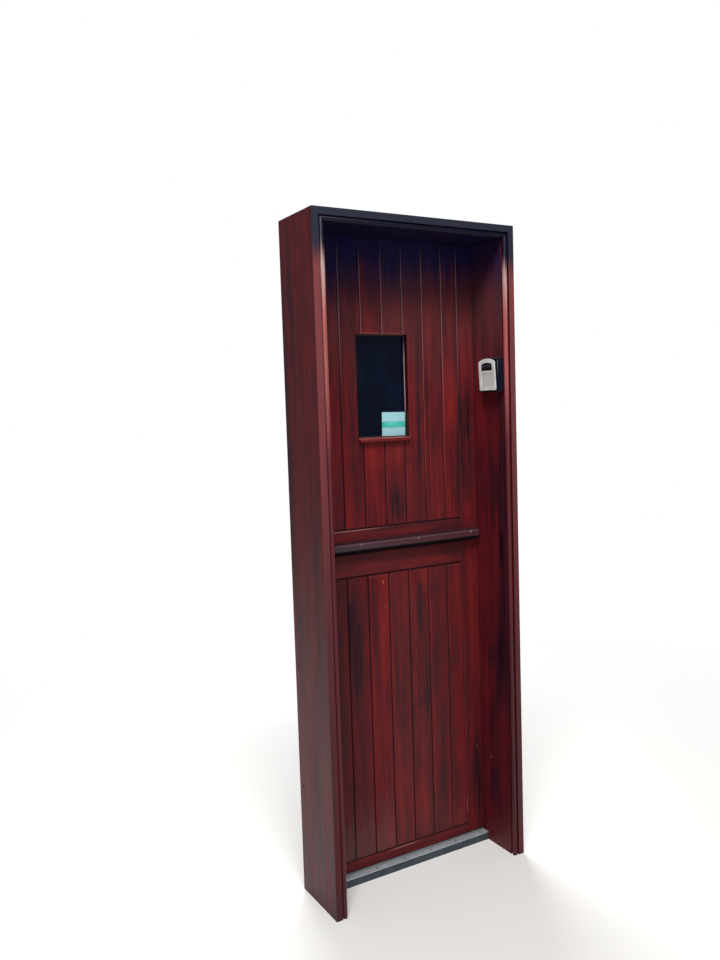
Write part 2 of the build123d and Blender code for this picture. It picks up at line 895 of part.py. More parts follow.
def arched(width, low, shoulder, crown, top_corner, foot_corner):
    """A rectangle with an arched head and rounded corners."""
    half = width / 2
    foot = Line((-half, low), (half, low))
    right = Line(foot @ 1, (half, shoulder))
    arch = ThreePointArc(right @ 1, (0, crown), (-half, shoulder))
    left = Line(arch @ 1, foot @ 0)
    face = make_face([foot, right, arch, left])
    if top_corner:
        face = fillet(face.vertices().group_by(Axis.Y)[-1], top_corner)
    if foot_corner:
        face = fillet(face.vertices().group_by(Axis.Y)[0], foot_corner)
    return face


def safe_profile(margin, top_corner, foot_corner):
    return arched(safe_door_width + 2 * margin, -margin, safe_door_shoulder + margin,
                  safe_door_crown + margin, top_corner, foot_corner)


def safe_pin_sketch(radius):
    return Pos(safe_barrel_reach, safe_barrel_height) * Circle(radius)


def key_safe_case():
    """Open-fronted shell with a lug at each side of the door's foot for the hinge pin."""
    shell = outward(safe_profile(safe_case_margin, safe_corner, safe_case_margin), 0, safe_case_depth)
    inner = safe_case_margin - safe_case_wall
    shell -= outward(safe_profile(inner, safe_corner - safe_case_wall, 0), safe_back_thickness,
                     safe_case_depth + 1)
    lug = patch((safe_case_depth - safe_lug_thickness, safe_barrel_reach),
                (safe_barrel_height - safe_lug_thickness, safe_barrel_height + safe_lug_thickness))
    lug += safe_pin_sketch(safe_lug_thickness)
    half = safe_door_width / 2 + safe_case_margin
    lugs = across(lug, half) - across(patch((0, safe_door_top_reach), (-half, half)),
                                      half - safe_lug_thickness)
    return shell + lugs - across(safe_pin_sketch(safe_pin_radius + pin_clearance), half + 1)


def key_safe_hinge_pin():
    return across(safe_pin_sketch(safe_pin_radius), safe_door_width / 2 + safe_case_margin)


def safe_face_reach(height):
    """How far the door's sloping face stands out at a height above its foot."""
    foot = safe_barrel_reach + safe_barrel_radius
    slope = (safe_door_top_reach - foot) / (safe_door_crown - safe_barrel_height)
    return foot + (height - safe_barrel_height) * slope


def dial_window(extra=0.0):
    return arched(dial_window_width + 2 * extra, dial_window_low - extra,
                  dial_window_side + extra, dial_window_crown + extra, 0, 0)


def key_safe_door():
    """Wedge-shaped door with an arched head, turning on the pin in its rounded foot."""
    back = safe_case_depth + safe_door_gap
    profile = outline([
        (back, safe_barrel_height), (safe_face_reach(safe_barrel_height), safe_barrel_height),
        (safe_door_top_reach, safe_door_crown), (back, safe_door_crown)])
    profile += safe_pin_sketch(safe_barrel_radius)
    solid = across(profile, safe_door_width / 2)
    front = safe_profile(0, safe_corner, 0)
    solid &= outward(front, back - 1, safe_door_top_reach + 1)
    solid = fillet(solid.faces().sort_by(Axis.X)[0].edges().group_by(Axis.Z)[1:], safe_edge_fillet)
    panel = outline([
        (safe_face_reach(safe_panel_low) - safe_panel_depth, safe_panel_low),
        (safe_face_reach(safe_panel_high) - safe_panel_depth, safe_panel_high),
        (safe_door_top_reach + 1, safe_panel_high), (safe_door_top_reach + 1, safe_panel_low)])
    solid -= across(panel, safe_panel_width / 2)
    pocket = patch((-dial_window_width / 2 - dial_pocket_margin,
                    dial_window_width / 2 + dial_pocket_margin),
                   (dial_window_low - dial_pocket_margin, dial_window_crown + dial_pocket_margin - 1))
    solid -= outward(pocket, back - 1, dial_pocket_floor)
    solid -= outward(dial_window(), back - 1, safe_door_top_reach + 1)
    return solid - across(safe_pin_sketch(safe_pin_radius + pin_clearance), safe_door_width)


def dial_offsets():
    first = -(dial_count - 1) * dial_pitch / 2
    return [first + index * dial_pitch for index in range(dial_count)]


def key_safe_bezel():
    """Arched insert with a slot for each dial and one for the release button."""
    flange = patch((-dial_window_width / 2 - bezel_flange, dial_window_width / 2 + bezel_flange),
                   (dial_window_low - bezel_flange, dial_window_crown + bezel_flange - 1))
    flange_back = dial_pocket_floor - bezel_flange_thickness
    solid = outward(flange, flange_back, dial_pocket_floor)
    solid += outward(dial_window(-joint_clearance), flange_back, bezel_face)
    lug_outer = axle_lug_offset + axle_lug_thickness
    for inner, outer in ((-lug_outer, -axle_lug_offset), (axle_lug_offset, lug_outer)):
        lug = patch((inner, outer), (dial_height - axle_lug_half_height,
                                     dial_height + axle_lug_half_height))
        solid += outward(lug, dial_pocket_floor - axle_lug_reach, dial_pocket_floor)
    hollow = Pos(dial_reach, dial_height) * Circle(dial_radius + joint_clearance)
    slot = across(hollow, dial_width / 2 + joint_clearance)
    for offset in dial_offsets():
        solid -= Pos(0, offset, 0) * slot
    solid -= across(Pos(dial_reach, dial_height) * Circle(dial_axle_radius + pin_clearance), lug_outer)
    button = patch((-release_width / 2 - joint_clearance, release_width / 2 + joint_clearance),
                   (release_low - joint_clearance, release_low + release_height + joint_clearance))
    return solid - outward(button, 0, bezel_face + 1)


def key_safe_axle():
    rod = Pos(dial_reach, dial_height) * Circle(dial_axle_radius)
    return across(rod, axle_lug_offset + axle_lug_thickness)


def number_wheel(offset):
    """A dial with one shallow notch between each pair of places."""
    face = Circle(dial_radius) - Circle(dial_axle_radius + pin_clearance)
    face -= PolarLocations(dial_radius, dial_positions) * Circle(dial_notch_radius)
    return Pos(0, offset, 0) * across(Pos(dial_reach, dial_height) * face, dial_width / 2)


def key_safe_release():
    """Push button with a flange behind the bezel that keeps it in."""
    half = release_width / 2
    flange_front = dial_pocket_floor - bezel_flange_thickness - joint_clearance
    button = patch((-half, half), (release_low, release_low + release_height))
    flange = patch((-half - release_flange, half + release_flange),
                   (release_low - release_flange, release_low + release_height))
    solid = outward(button, flange_front, bezel_face + release_proud)
    face = solid.faces().sort_by(Axis.X)[0]
    solid = chamfer(face.edges(), 0.5)
    return solid + outward(flange, flange_front - release_flange_thickness, flange_front)


# Nodes

def collect_nodes():
    nodes = {
        "jamb_left": jamb_left(),
        "jamb_right": jamb_right(),
        "frame_head": frame_head(),
        "threshold": threshold(),
        "threshold_strip": threshold_strip(),
        "threshold_screws": threshold_screws(),
        "frame_hinge_leaves": [hinge_leaf(height, on_frame=True)
                               for height in lower_hinge_heights + upper_hinge_heights],
        "hinge_pins": [hinge_pin(height) for height in lower_hinge_heights + upper_hinge_heights],
        "lock_strike": lock_strike(),
        "key_safe_case": key_safe_case(),
        "key_safe_hinge_pin": key_safe_hinge_pin(),
        "key_safe_door": key_safe_door(),
        "key_safe_bezel": key_safe_bezel(),
        "key_safe_axle": key_safe_axle(),
        "key_safe_release": key_safe_release(),
        "upper_stile_left": upper_stile_left(),
        "upper_stile_right": upper_stile_right(),
        "upper_top_rail": ledge(upper_top_rail_foot, upper_top),
        "upper_middle_rail": ledge(middle_rail_foot, middle_rail_top),
        "upper_bottom_rail": upper_bottom_rail(),
        "window_lining": window_lining(),
        "window_glass": window_glass(),
        "window_beads": window_beads(),
        "window_sill": window_sill(),
        "drip_bar": drip_bar(),
        "drip_bar_screws": [place * screw(drip_screw_length) for place in drip_screw_places()],
        "upper_hinge_leaves": [hinge_leaf(height, on_frame=False) for height in upper_hinge_heights],
        "joining_bolt_case": joining_bolt_case(),
        "joining_bolt_rod": joining_bolt_rod(),
        "lower_stile_left": lower_stile_left(),
        "lower_stile_right": lower_stile_right(),
        "lower_top_rail": banded_rail(lower_top, lower_top_band, lower_top_band + rail_lap,
                                      upward=False),
        "lower_bottom_rail": banded_rail(lower_bottom, lower_bottom_band, lower_bottom_rail_height,
                                         upward=True),
        "lower_brace": lower_brace(),
        "lower_hinge_leaves": [hinge_leaf(height, on_frame=False) for height in lower_hinge_heights],
        "lock_case": lock_case(),
        "lock_bolt": lock_bolt(),
        "lock_cylinder": lock_cylinder(),
        "lock_turn": lock_turn(),
        "lock_escutcheon": lock_escutcheon(),
        "pull_handle": pull_handle(),
        "joining_bolt_keep": joining_bolt_keep(),
    }
    for index, offset in enumerate(dial_offsets(), start=1):
        nodes[f"number_wheel_{index}"] = number_wheel(offset)
    for index, board in enumerate(upper_boards(), start=1):
        nodes[f"upper_board_{index}"] = board
    for index, board in enumerate(boards(lower_boards_low, lower_boards_high), start=1):
        nodes[f"lower_board_{index}"] = board
    return nodes


os.makedirs("parts", exist_ok=True)
for name, shape in collect_nodes().items():
    solids = shape if isinstance(shape, list) else [shape]
    export_step(Compound(children=[part for solid in solids for part in solid.solids()]),
                f"parts/{name}.step")
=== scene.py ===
import math
import random

import bmesh
import bpy
from mathutils import Matrix, Vector


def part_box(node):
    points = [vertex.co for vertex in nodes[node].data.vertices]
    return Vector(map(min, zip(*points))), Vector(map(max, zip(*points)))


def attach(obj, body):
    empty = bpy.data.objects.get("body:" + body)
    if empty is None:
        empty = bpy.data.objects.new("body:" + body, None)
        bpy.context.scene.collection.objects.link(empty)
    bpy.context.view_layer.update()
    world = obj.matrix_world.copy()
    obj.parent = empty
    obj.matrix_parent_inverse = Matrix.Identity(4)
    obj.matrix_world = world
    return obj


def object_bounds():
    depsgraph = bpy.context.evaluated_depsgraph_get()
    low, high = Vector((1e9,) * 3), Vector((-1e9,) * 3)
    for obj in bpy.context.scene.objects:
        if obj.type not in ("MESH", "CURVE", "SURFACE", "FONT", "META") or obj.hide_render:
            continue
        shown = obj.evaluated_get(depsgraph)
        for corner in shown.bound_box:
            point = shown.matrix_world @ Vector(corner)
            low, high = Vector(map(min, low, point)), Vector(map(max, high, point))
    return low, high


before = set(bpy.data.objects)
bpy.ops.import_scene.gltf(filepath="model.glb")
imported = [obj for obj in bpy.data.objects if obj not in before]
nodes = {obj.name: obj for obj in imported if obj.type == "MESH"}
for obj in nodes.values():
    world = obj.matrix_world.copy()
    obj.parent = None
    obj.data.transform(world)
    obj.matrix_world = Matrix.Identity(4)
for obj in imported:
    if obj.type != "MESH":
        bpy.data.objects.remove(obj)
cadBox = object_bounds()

mm = 0.001


# Colours and nodes. In the dictionaries below, a colour is linear and has three parts, a noise is (cells per metre,
# detail, roughness, distortion), a bump is (strength, depth), two limits are where a fade starts and ends, and three
# are the ends of a band and the width of its fades.

def rgb(red, green, blue):  # screen values from 0 to 255, as a linear colour
    def linear(value):
        value /= 255
        return value / 12.92 if value <= 0.04045 else ((value + 0.055) / 1.055) ** 2.4
    return (linear(red), linear(green), linear(blue))


def tinted(colour, factor):
    return tuple(channel * factor for channel in colour)


def setInputs(tree, node, inputs):
    for key, value in inputs.items():
        if isinstance(value, bpy.types.NodeSocket):
            tree.links.new(value, node.inputs[key])
        else:
            node.inputs[key].default_value = value


def addNode(tree, kind, inputs=None, **settings):
    node = tree.nodes.new(kind)
    for key, value in settings.items():
        setattr(node, key, value)
    setInputs(tree, node, inputs or {})
    return node


def calc(tree, operation, *values):
    return addNode(tree, "ShaderNodeMath", dict(enumerate(values)), operation=operation).outputs[0]


def times(tree, *factors):
    product = factors[0]
    for factor in factors[1:]:
        product = calc(tree, "MULTIPLY", product, factor)
    return product


def plus(tree, value, layer, depth):  # adds a layer, scaled by its depth
    return calc(tree, "MULTIPLY_ADD", layer, depth, value)


def vectorCalc(tree, operation, a, b):
    return addNode(tree, "ShaderNodeVectorMath", {0: a, 1: b}, operation=operation).outputs[0]


def blend(tree, factor, a, b, mode="MIX"):
    a, b = (colour if isinstance(colour, bpy.types.NodeSocket) else (*colour, 1.0) for colour in (a, b))
    node = addNode(tree, "ShaderNodeMix", {0: factor, 6: a, 7: b}, data_type="RGBA", blend_type=mode)
    return node.outputs[2]


def noise(tree, vector, scale, detail, roughness, distortion=0.0):
    node = addNode(tree, "ShaderNodeTexNoise", {
        "Vector": vector, "Scale": scale, "Detail": detail, "Roughness": roughness, "Distortion": distortion})
    return node.outputs[0]


def smooth(tree, value, low, high, toLow=0.0, toHigh=1.0):
    node = addNode(tree, "ShaderNodeMapRange", {
        "Value": value, "From Min": low, "From Max": high, "To Min": toLow, "To Max": toHigh},
        interpolation_type="SMOOTHSTEP")
    return node.outputs[0]


def between(tree, value, low, high, soft):  # 1 from low to high, with both fades inside
    return times(tree, smooth(tree, value, low, low + soft), smooth(tree, value, high, high - soft))


def ramp(tree, value, stops):
    node = addNode(tree, "ShaderNodeValToRGB", {0: value})
    elements = node.color_ramp.elements
    while len(elements) < len(stops):
        elements.new(0.5)
    for element, (place, colour) in zip(elements, stops):
        element.position = place
        element.color = (*colour, 1.0)
    return node.outputs[0]


def axesOf(tree, place):
    return addNode(tree, "ShaderNodeSeparateXYZ", {0: place}).outputs


def newMaterial(name):  # with its nodes, and the piece's own coordinates
    material = bpy.data.materials.new(name)
    material.use_nodes = True
    tree = material.node_tree
    tree.nodes.clear()
    return material, tree, addNode(tree, "ShaderNodeTexCoord").outputs["Object"]


def finishShader(tree, colour, roughness, gloss=0.5, metallic=0.0, bump=None):
    inputs = {"Base Color": colour, "Roughness": roughness, "Specular IOR Level": gloss, "Metallic": metallic}
    if bump:
        height, (strength, distance) = bump
        node = addNode(tree, "ShaderNodeBump", {"Height": height, "Strength": strength, "Distance": distance})
        inputs["Normal"] = node.outputs[0]
    shader = addNode(tree, "ShaderNodeBsdfPrincipled", inputs)
    output = addNode(tree, "ShaderNodeOutputMaterial", {0: shader.outputs[0]})
    return shader, output


noiseSpread = (0.3, 0.7)  # the part of a noise that moves a roughness
arris = {"weld": 0.02 * mm, "segments": 2, "sharpest": 28}


def dress(nodeName, material):
    mesh = nodes[nodeName].data
    mesh.materials.clear()
    mesh.materials.append(material)


def soften(nodeName, width):  # rounds the sharp arrises, as wear does
    weld = nodes[nodeName].modifiers.new("weld", "WELD")
    weld.merge_threshold = arris["weld"]
    bevel = nodes[nodeName].modifiers.new("arris", "BEVEL")
    bevel.width = width
    bevel.segments = arris["segments"]
    bevel.limit_method = "ANGLE"
    bevel.angle_limit = math.radians(arris["sharpest"])
    bevel.harden_normals = True
    bevel.use_clamp_overlap = True


# Stained wood

stain = {
    "black": rgb(28, 8, 20), "dark": rgb(52, 21, 27), "middle": rgb(84, 22, 26), "red": rgb(108, 28, 28),
    # Near black on the next line: painted shade in grooves, at rails and under the drip bar; red: painted highlight.
    "bright": rgb(134, 42, 37), "dirt": rgb(18, 8, 14), "gapShadow": rgb(5, 2, 8), "glint": rgb(178, 74, 68),
    "rubbed": rgb(150, 80, 78), "sillTop": rgb(150, 138, 132),
    "pale": rgb(180, 140, 152),    # painted highlight on the joints' flanks
    "shade": rgb(4, 12, 54),       # painted shade: the head's shadow on the leaves and jambs
    "shadeCast": rgb(84, 58, 62),      # painted greyish cast at the edge of that shade, high up
    "dust": rgb(146, 116, 112),    # dust near the threshold
    "stops": {"black": 0.0, "dark": 0.24, "middle": 0.5, "red": 0.74, "bright": 1.0},
    "streakSpread": (-0.25, 0.25), "roughness": (0.38, 0.52),
    "ridgeStreaks": 0.6, "bump": (0.3, 0.25 * mm),
}

figure = {  # the layers of the wood's figure, each a noise stretched along the grain
    "streaks": {"width": 9 * mm, "length": 360 * mm, "depth": 0.5, "noise": (1.0, 3.0, 0.55, 0.4), "shift": 0},
    "bands": {"width": 34 * mm, "length": 650 * mm, "depth": 0.7, "noise": (1.0, 2.0, 0.5, 0.3), "shift": 11},
    "grain": {"width": 0.9 * mm, "length": 55 * mm, "depth": 0.3, "noise": (1.0, 3.0, 0.6), "shift": 23},
    "blotches": {"width": 26 * mm, "length": 95 * mm, "depth": 0.5, "noise": (1.0, 4.0, 0.6, 0.6), "shift": 37},
}
seedStep = (0.371, 0.173, 0.557)
patchEdge = {"fade": (1.25, 0.3), "streaks": 1.3, "bands": 0.8, "markGrain": 0.5}

# What a piece of wood looks like unless its own look says otherwise. Clouds are (x, z, half width, half height,
# strength) and darken where the strength is positive; lining clouds have y in place of x. Lines are (height, half
# width, strength, stain). Marks, which are knots, nicks, and pale lines on two rails' top arrises that are partly
# wear and partly painted highlight, are (x, y, z, half sizes, screen colour, strength). All are in mm.
plainWood = {"grain": "z", "tone": 0.5, "gloss": 0.16, "topShade": 0.0, "shadeCast": 0.3, "dust": 0.0, "hold": 0.92,
             "glint": 0.46, "redGlint": 0.0, "clouds": [], "liningClouds": [], "lines": [], "marks": []}


def grainCoordinates(tree, place, direction, across, along, seed):
    # Scales the piece's own coordinates so that one unit is one cell of figure.
    angle = {"z": 0.0, "x": math.pi / 2}.get(direction, direction)
    if angle:
        place = addNode(tree, "ShaderNodeMapping", {"Vector": place, "Rotation": (0, angle, 0)}).outputs[0]
    shifted = vectorCalc(tree, "ADD", place, tinted(seedStep, seed))
    return vectorCalc(tree, "MULTIPLY", shifted, (1 / across, 1 / across, 1 / along))


def patchOf(tree, place, wobble, centre, half, strength):
    # A soft-edged patch, given by its centre and half sizes in mm; a half size of 0 leaves that axis out.
    offset = vectorCalc(tree, "SUBTRACT", place, tinted(centre, mm))
    scaled = vectorCalc(tree, "MULTIPLY", offset, tuple(1 / (size * mm) if size else 0.0 for size in half))
    distance = addNode(tree, "ShaderNodeVectorMath", {0: scaled}, operation="LENGTH").outputs[1]
    return smooth(tree, calc(tree, "ADD", distance, wobble), *patchEdge["fade"], 0.0, strength)


def stainedWood(name, changes):
    look = {**plainWood, **changes}
    material, tree, place = newMaterial(name)
    x, y, z = axesOf(tree, place)
    layers = {}
    tone = look["tone"]
    for part, layer in figure.items():
        cells = grainCoordinates(tree, place, look["grain"], layer["width"], layer["length"],
                                 look["seed"] + layer["shift"])
        layers[part] = calc(tree, "SUBTRACT", noise(tree, cells, *layer["noise"]), 0.5)
        tone = plus(tree, tone, layers[part], layer["depth"])
    streaks = layers["streaks"]

    wobble = plus(tree, times(tree, streaks, patchEdge["streaks"]), layers["bands"], patchEdge["bands"])
    patches = [((centreX, 0, centreZ), (halfX, 0, halfZ), strength)
               for centreX, centreZ, halfX, halfZ, strength in look["clouds"]]
    patches += [((0, centreY, centreZ), (0, halfY, halfZ), strength)
                for centreY, centreZ, halfY, halfZ, strength in look["liningClouds"]]
    for patch in patches:
        tone = calc(tree, "SUBTRACT", tone, patchOf(tree, place, wobble, *patch))
    colour = ramp(tree, tone, [(stop, stain[key]) for key, stop in stain["stops"].items()])
    if "tint" in look:
        colour = blend(tree, 1.0, colour, look["tint"], "MULTIPLY")
    if look["topShade"]:
        colour = shadeTop(tree, colour, x, y, z, streaks, look)
    if look["dust"]:
        colour = dustFoot(tree, colour, y, z, layers["blotches"], look["dust"])
    if "joint" in look:
        colour = wearJoint(tree, colour, x, y, z, look)
    for line in look["lines"]:
        colour = drawLine(tree, colour, y, z, streaks, *line)
    if "bead" in look:
        colour = wearBead(tree, colour, x, y, z, streaks, look["bead"])
    for centreX, centreY, centreZ, half, tint, strength in look["marks"]:
        mark = patchOf(tree, place, times(tree, layers["grain"], patchEdge["markGrain"]),
                       (centreX, centreY, centreZ), half, strength)
        colour = blend(tree, mark, colour, rgb(*tint))

    rough = smooth(tree, streaks, *stain["streakSpread"], *stain["roughness"])
    if underBar in look["lines"]:  # the gap under the drip bar throws no light back
        dull = times(tree, smooth(tree, z, *underBarDull["rise"]), smooth(tree, y, *underBarDull["depth"]))
        rough = calc(tree, "MAXIMUM", rough, dull)
    ridges = plus(tree, layers["grain"], streaks, stain["ridgeStreaks"])
    finishShader(tree, colour, rough, look["gloss"], bump=(ridges, stain["bump"]))
    return material


# Painted shade under the head goes only on the outside: the leaves' fronts and the jambs' faces to the opening.
paintedShadeAndDust = {
    "leafFront": (17 * mm, 15 * mm), "jambFace": (309 * mm, 308 * mm), "ragged": 0.22, "shadeCastRise": (1.45, 1.78),
    "shadeRise": (1.745, 1.91), "shadeSlope": -0.07, "dustFall": (0.28, 0.06), "dustRagged": 0.3,
}


def shadeTop(tree, colour, x, y, z, streaks, look):
    if "bead" in look:
        outside = smooth(tree, calc(tree, "ABSOLUTE", x), *paintedShadeAndDust["jambFace"])
    else:
        outside = smooth(tree, y, *paintedShadeAndDust["leafFront"])
    # Painted shade: the head's shadow turns the top navy, and a painted greyish cast leads into it.
    ragged = plus(tree, z, streaks, paintedShadeAndDust["ragged"])
    shadeCast = smooth(tree, ragged, *paintedShadeAndDust["shadeCastRise"], 0.0, look["shadeCast"])
    colour = blend(tree, times(tree, shadeCast, outside), colour, stain["shadeCast"])
    shade = smooth(tree, plus(tree, ragged, x, paintedShadeAndDust["shadeSlope"]), *paintedShadeAndDust["shadeRise"], 0.0, look["topShade"])
    return blend(tree, times(tree, shade, outside), colour, stain["shade"])


def dustFoot(tree, colour, y, z, blotches, strength):
    nearLeaf = smooth(tree, plus(tree, z, blotches, paintedShadeAndDust["dustRagged"]), *paintedShadeAndDust["dustFall"], 0.0, strength)
    return blend(tree, times(tree, nearLeaf, smooth(tree, y, *paintedShadeAndDust["leafFront"])), colour, stain["dust"])


vJoint = {
    "face": (16 * mm, 15 * mm), "dirt": (0.4 * mm, 1.8 * mm), "flank": (0.9 * mm, 3.0 * mm, 0.6 * mm),
    "redRise": (1.15, 1.3), "redFall": (1.75, 1.5), "paleRise": (1.42, 1.86), "paleFall": (1.96, 1.84),
}


def wearJoint(tree, colour, x, y, z, look):
    # V-joints get painted shade deep in the groove; higher up their flank gets a painted red highlight on some
    # boards, and a pale painted highlight on all.
    face = smooth(tree, y, *vJoint["face"])
    deep = times(tree, smooth(tree, y, *vJoint["dirt"]), face, look["hold"])
    colour = blend(tree, deep, colour, stain["dirt"])
    low, high, soft = vJoint["flank"]
    flank = times(tree, between(tree, x, look["joint"] + low, look["joint"] + high, soft), face)
    if look["redGlint"]:
        red = times(tree, smooth(tree, z, *vJoint["redRise"], 0.0, look["redGlint"]),
                    smooth(tree, z, *vJoint["redFall"]), flank)
        colour = blend(tree, red, colour, stain["glint"])
    wearAndPaintedLight = times(tree, smooth(tree, z, *vJoint["paleRise"], 0.0, look["glint"]),
                 smooth(tree, z, *vJoint["paleFall"]), flank)
    return blend(tree, wearAndPaintedLight, colour, stain["pale"])


lineFade = {"core": 0.3, "streaks": (-0.18, 0.1), "least": 0.25, "depth": (4 * mm, 2 * mm)}
# Painted shadow, near black, on the lower leaf just under the drip bar.
underBar = (1019, 9, 0.96, "gapShadow")
underBarDull = {"rise": (1008 * mm, 1012 * mm), "depth": (6 * mm, 4 * mm)}


def drawLine(tree, colour, y, z, streaks, height, half, strength, tint):
    # A line along an arris of the front: painted shade in a gap, a pale edge, or the sill's pale top; a pale edge
    # comes and goes with the streaks.
    away = calc(tree, "ABSOLUTE", calc(tree, "SUBTRACT", z, height * mm))
    line = smooth(tree, away, half * mm, half * lineFade["core"] * mm, 0.0, strength)
    if tint == "rubbed":
        line = times(tree, line, smooth(tree, streaks, *lineFade["streaks"], lineFade["least"], 1.0))
    return blend(tree, times(tree, line, smooth(tree, y, *lineFade["depth"])), colour, stain[tint])


staffBead = {
    # The bead's colours rise to a pale painted highlight; the quirk's colour is painted shade.
    "low": rgb(86, 32, 40), "middle": rgb(150, 80, 78), "high": rgb(170, 138, 134), "quirkShade": rgb(66, 8, 12),
    "stripLow": rgb(60, 24, 30), "stripHigh": rgb(132, 74, 74),
    # Painted shade under the head, on the bead, the strip and the soffit.
    "headBeadShade": rgb(9, 7, 30), "headStripShade": rgb(33, 36, 50), "soffitShade": rgb(4, 8, 42),
    "stops": ((0.0, "low"), (0.66, "low"), (0.78, "middle"), (0.86, "middle"), (0.92, "high")),
    "stopsTop": 2.0, "ragged": 0.25, "underHeadShade": (1.83, 1.905), "underHeadShadeRagged": 0.1,
    "opening": 307.5 * mm, "head": 1955 * mm, "front": (-148 * mm, -152 * mm),
    "bead": (14.5 * mm, 13.5 * mm), "beadRise": (0.2, 1.5), "beadShare": (0.25, 0.85),
    "quirkPlace": (13.6 * mm, 18.2 * mm, 0.6 * mm),
    "strip": (17.8 * mm, 18.4 * mm), "stripFront": (-160 * mm, -162 * mm), "stripRise": (0.3, 1.8),
    "stripShare": 0.5, "soffitHeight": (1957 * mm, 1955.5 * mm), "soffitDepth": (2 * mm, 0.0), "soffitShare": 0.92,
}


def wearBead(tree, colour, x, y, z, streaks, direction):
    # The staff bead round the opening: a painted highlight, pale towards the top, painted shade in its quirk,
    # and a strip beside it that is lighter higher up. Near the head all three take painted shade, and so does the
    # soffit on the head.
    look = staffBead
    if direction == "z":
        outward = calc(tree, "SUBTRACT", z, look["head"])
    else:
        outward = calc(tree, "SUBTRACT", calc(tree, "ABSOLUTE", x), look["opening"])
    front = smooth(tree, y, *look["front"])
    height = plus(tree, z, streaks, look["ragged"])
    underHeadShade = smooth(tree, plus(tree, z, streaks, look["underHeadShadeRagged"]), *look["underHeadShade"])

    rise = addNode(tree, "ShaderNodeMapRange", {"Value": height, "From Max": look["stopsTop"]}).outputs[0]
    wearAndPaintedLight = ramp(tree, rise, [(stop, look[key]) for stop, key in look["stops"]])
    wearAndPaintedLight = blend(tree, underHeadShade, wearAndPaintedLight, look["headBeadShade"])
    onBead = times(tree, smooth(tree, outward, *look["bead"]), front)
    share = calc(tree, "MAXIMUM", smooth(tree, height, *look["beadRise"], *look["beadShare"]), underHeadShade)
    colour = blend(tree, times(tree, onBead, share), colour, wearAndPaintedLight)

    quirkShade = blend(tree, underHeadShade, look["quirkShade"], look["headBeadShade"])
    inQuirk = between(tree, outward, *look["quirkPlace"])
    colour = blend(tree, times(tree, inQuirk, front), colour, quirkShade)

    strip = blend(tree, smooth(tree, height, *look["stripRise"]), look["stripLow"], look["stripHigh"])
    strip = blend(tree, underHeadShade, strip, look["headStripShade"])
    onStrip = times(tree, smooth(tree, outward, *look["strip"]), smooth(tree, y, *look["stripFront"]))
    share = calc(tree, "MAXIMUM", underHeadShade, look["stripShare"])
    colour = blend(tree, times(tree, onStrip, share), colour, strip)
    if direction == "z":
        under = times(tree, smooth(tree, z, *look["soffitHeight"]), smooth(tree, y, *look["soffitDepth"]),
                      look["soffitShare"])
        colour = blend(tree, under, colour, look["soffitShade"])
    return colour


boards = {
    "upper_board_1": {"tone": 0.42},
    "upper_board_2": {"tone": 0.46, "clouds": [(-150, 1850, 20, 120, 0.12), (-150, 1680, 40, 90, 0.06)]},
    "upper_board_3": {"tone": 0.58, "clouds": [
        (-80, 1800, 22, 90, 0.12), (-74, 1310, 56, 60, -0.14), (-74, 1110, 56, 60, 0.12)]},
    "upper_board_4": {"tone": 0.47, "clouds": [
        (-1, 1150, 30, 70, 0.26), (0, 1320, 56, 60, -0.14), (10, 1880, 30, 100, 0.15)]},
    "upper_board_5": {"tone": 0.48, "clouds": [
        (60, 1460, 20, 260, -0.08), (96, 1500, 16, 240, 0.16), (75, 1190, 34, 150, 0.08), (74, 1310, 50, 70, 0.1)]},
    "upper_board_6": {
        "tone": 0.57, "clouds": [(150, 1470, 60, 240, 0.13), (120, 1530, 16, 190, 0.06)],
        "marks": [(196, 0, 1591, (6, 5, 9), (70, 24, 34), 0.5)]},
    "upper_board_7": {"tone": 0.52, "clouds": [
        (215, 1660, 22, 140, -0.03), (212, 1490, 44, 130, -0.18), (220, 1200, 24, 110, 0.1)]},
    "lower_board_1": {"tone": 0.36},
    "lower_board_2": {"tone": 0.44, "clouds": [(-160, 740, 30, 190, 0.18), (-120, 420, 18, 330, -0.1)]},
    "lower_board_3": {
        "tone": 0.56, "clouds": [(-60, 800, 24, 190, -0.12), (-95, 780, 12, 160, 0.14)],
        "marks": [(-58.5, 0, 917, (1.4, 5, 7), (214, 120, 92), 0.9),
                  (-51, 0, 842, (1.4, 5, 2.5), (200, 104, 84), 0.8),
                  (-33.5, 0, 39, (1.5, 5, 3), (196, 120, 110), 0.8)]},
    "lower_board_4": {"tone": 0.52, "clouds": [(-10, 450, 30, 200, 0.05)],
                      "marks": [(2, 0, 567, (4, 5, 7), (62, 22, 26), 0.6)]},
    "lower_board_5": {"tone": 0.47, "clouds": [
        (66, 180, 34, 110, -0.2), (75, 505, 26, 50, 0.1), (74, 400, 50, 110, -0.08), (77, 830, 12, 90, 0.2),
        (97, 915, 26, 40, -0.2)]},
    "lower_board_6": {"tone": 0.48, "clouds": [
        (131, 720, 20, 200, 0.24), (150, 240, 24, 150, 0.14), (150, 560, 50, 240, 0.1), (165, 520, 16, 300, -0.1)]},
    "lower_board_7": {"tone": 0.5, "clouds": [(222, 430, 26, 260, -0.12), (214, 190, 44, 90, 0.06)]},
}

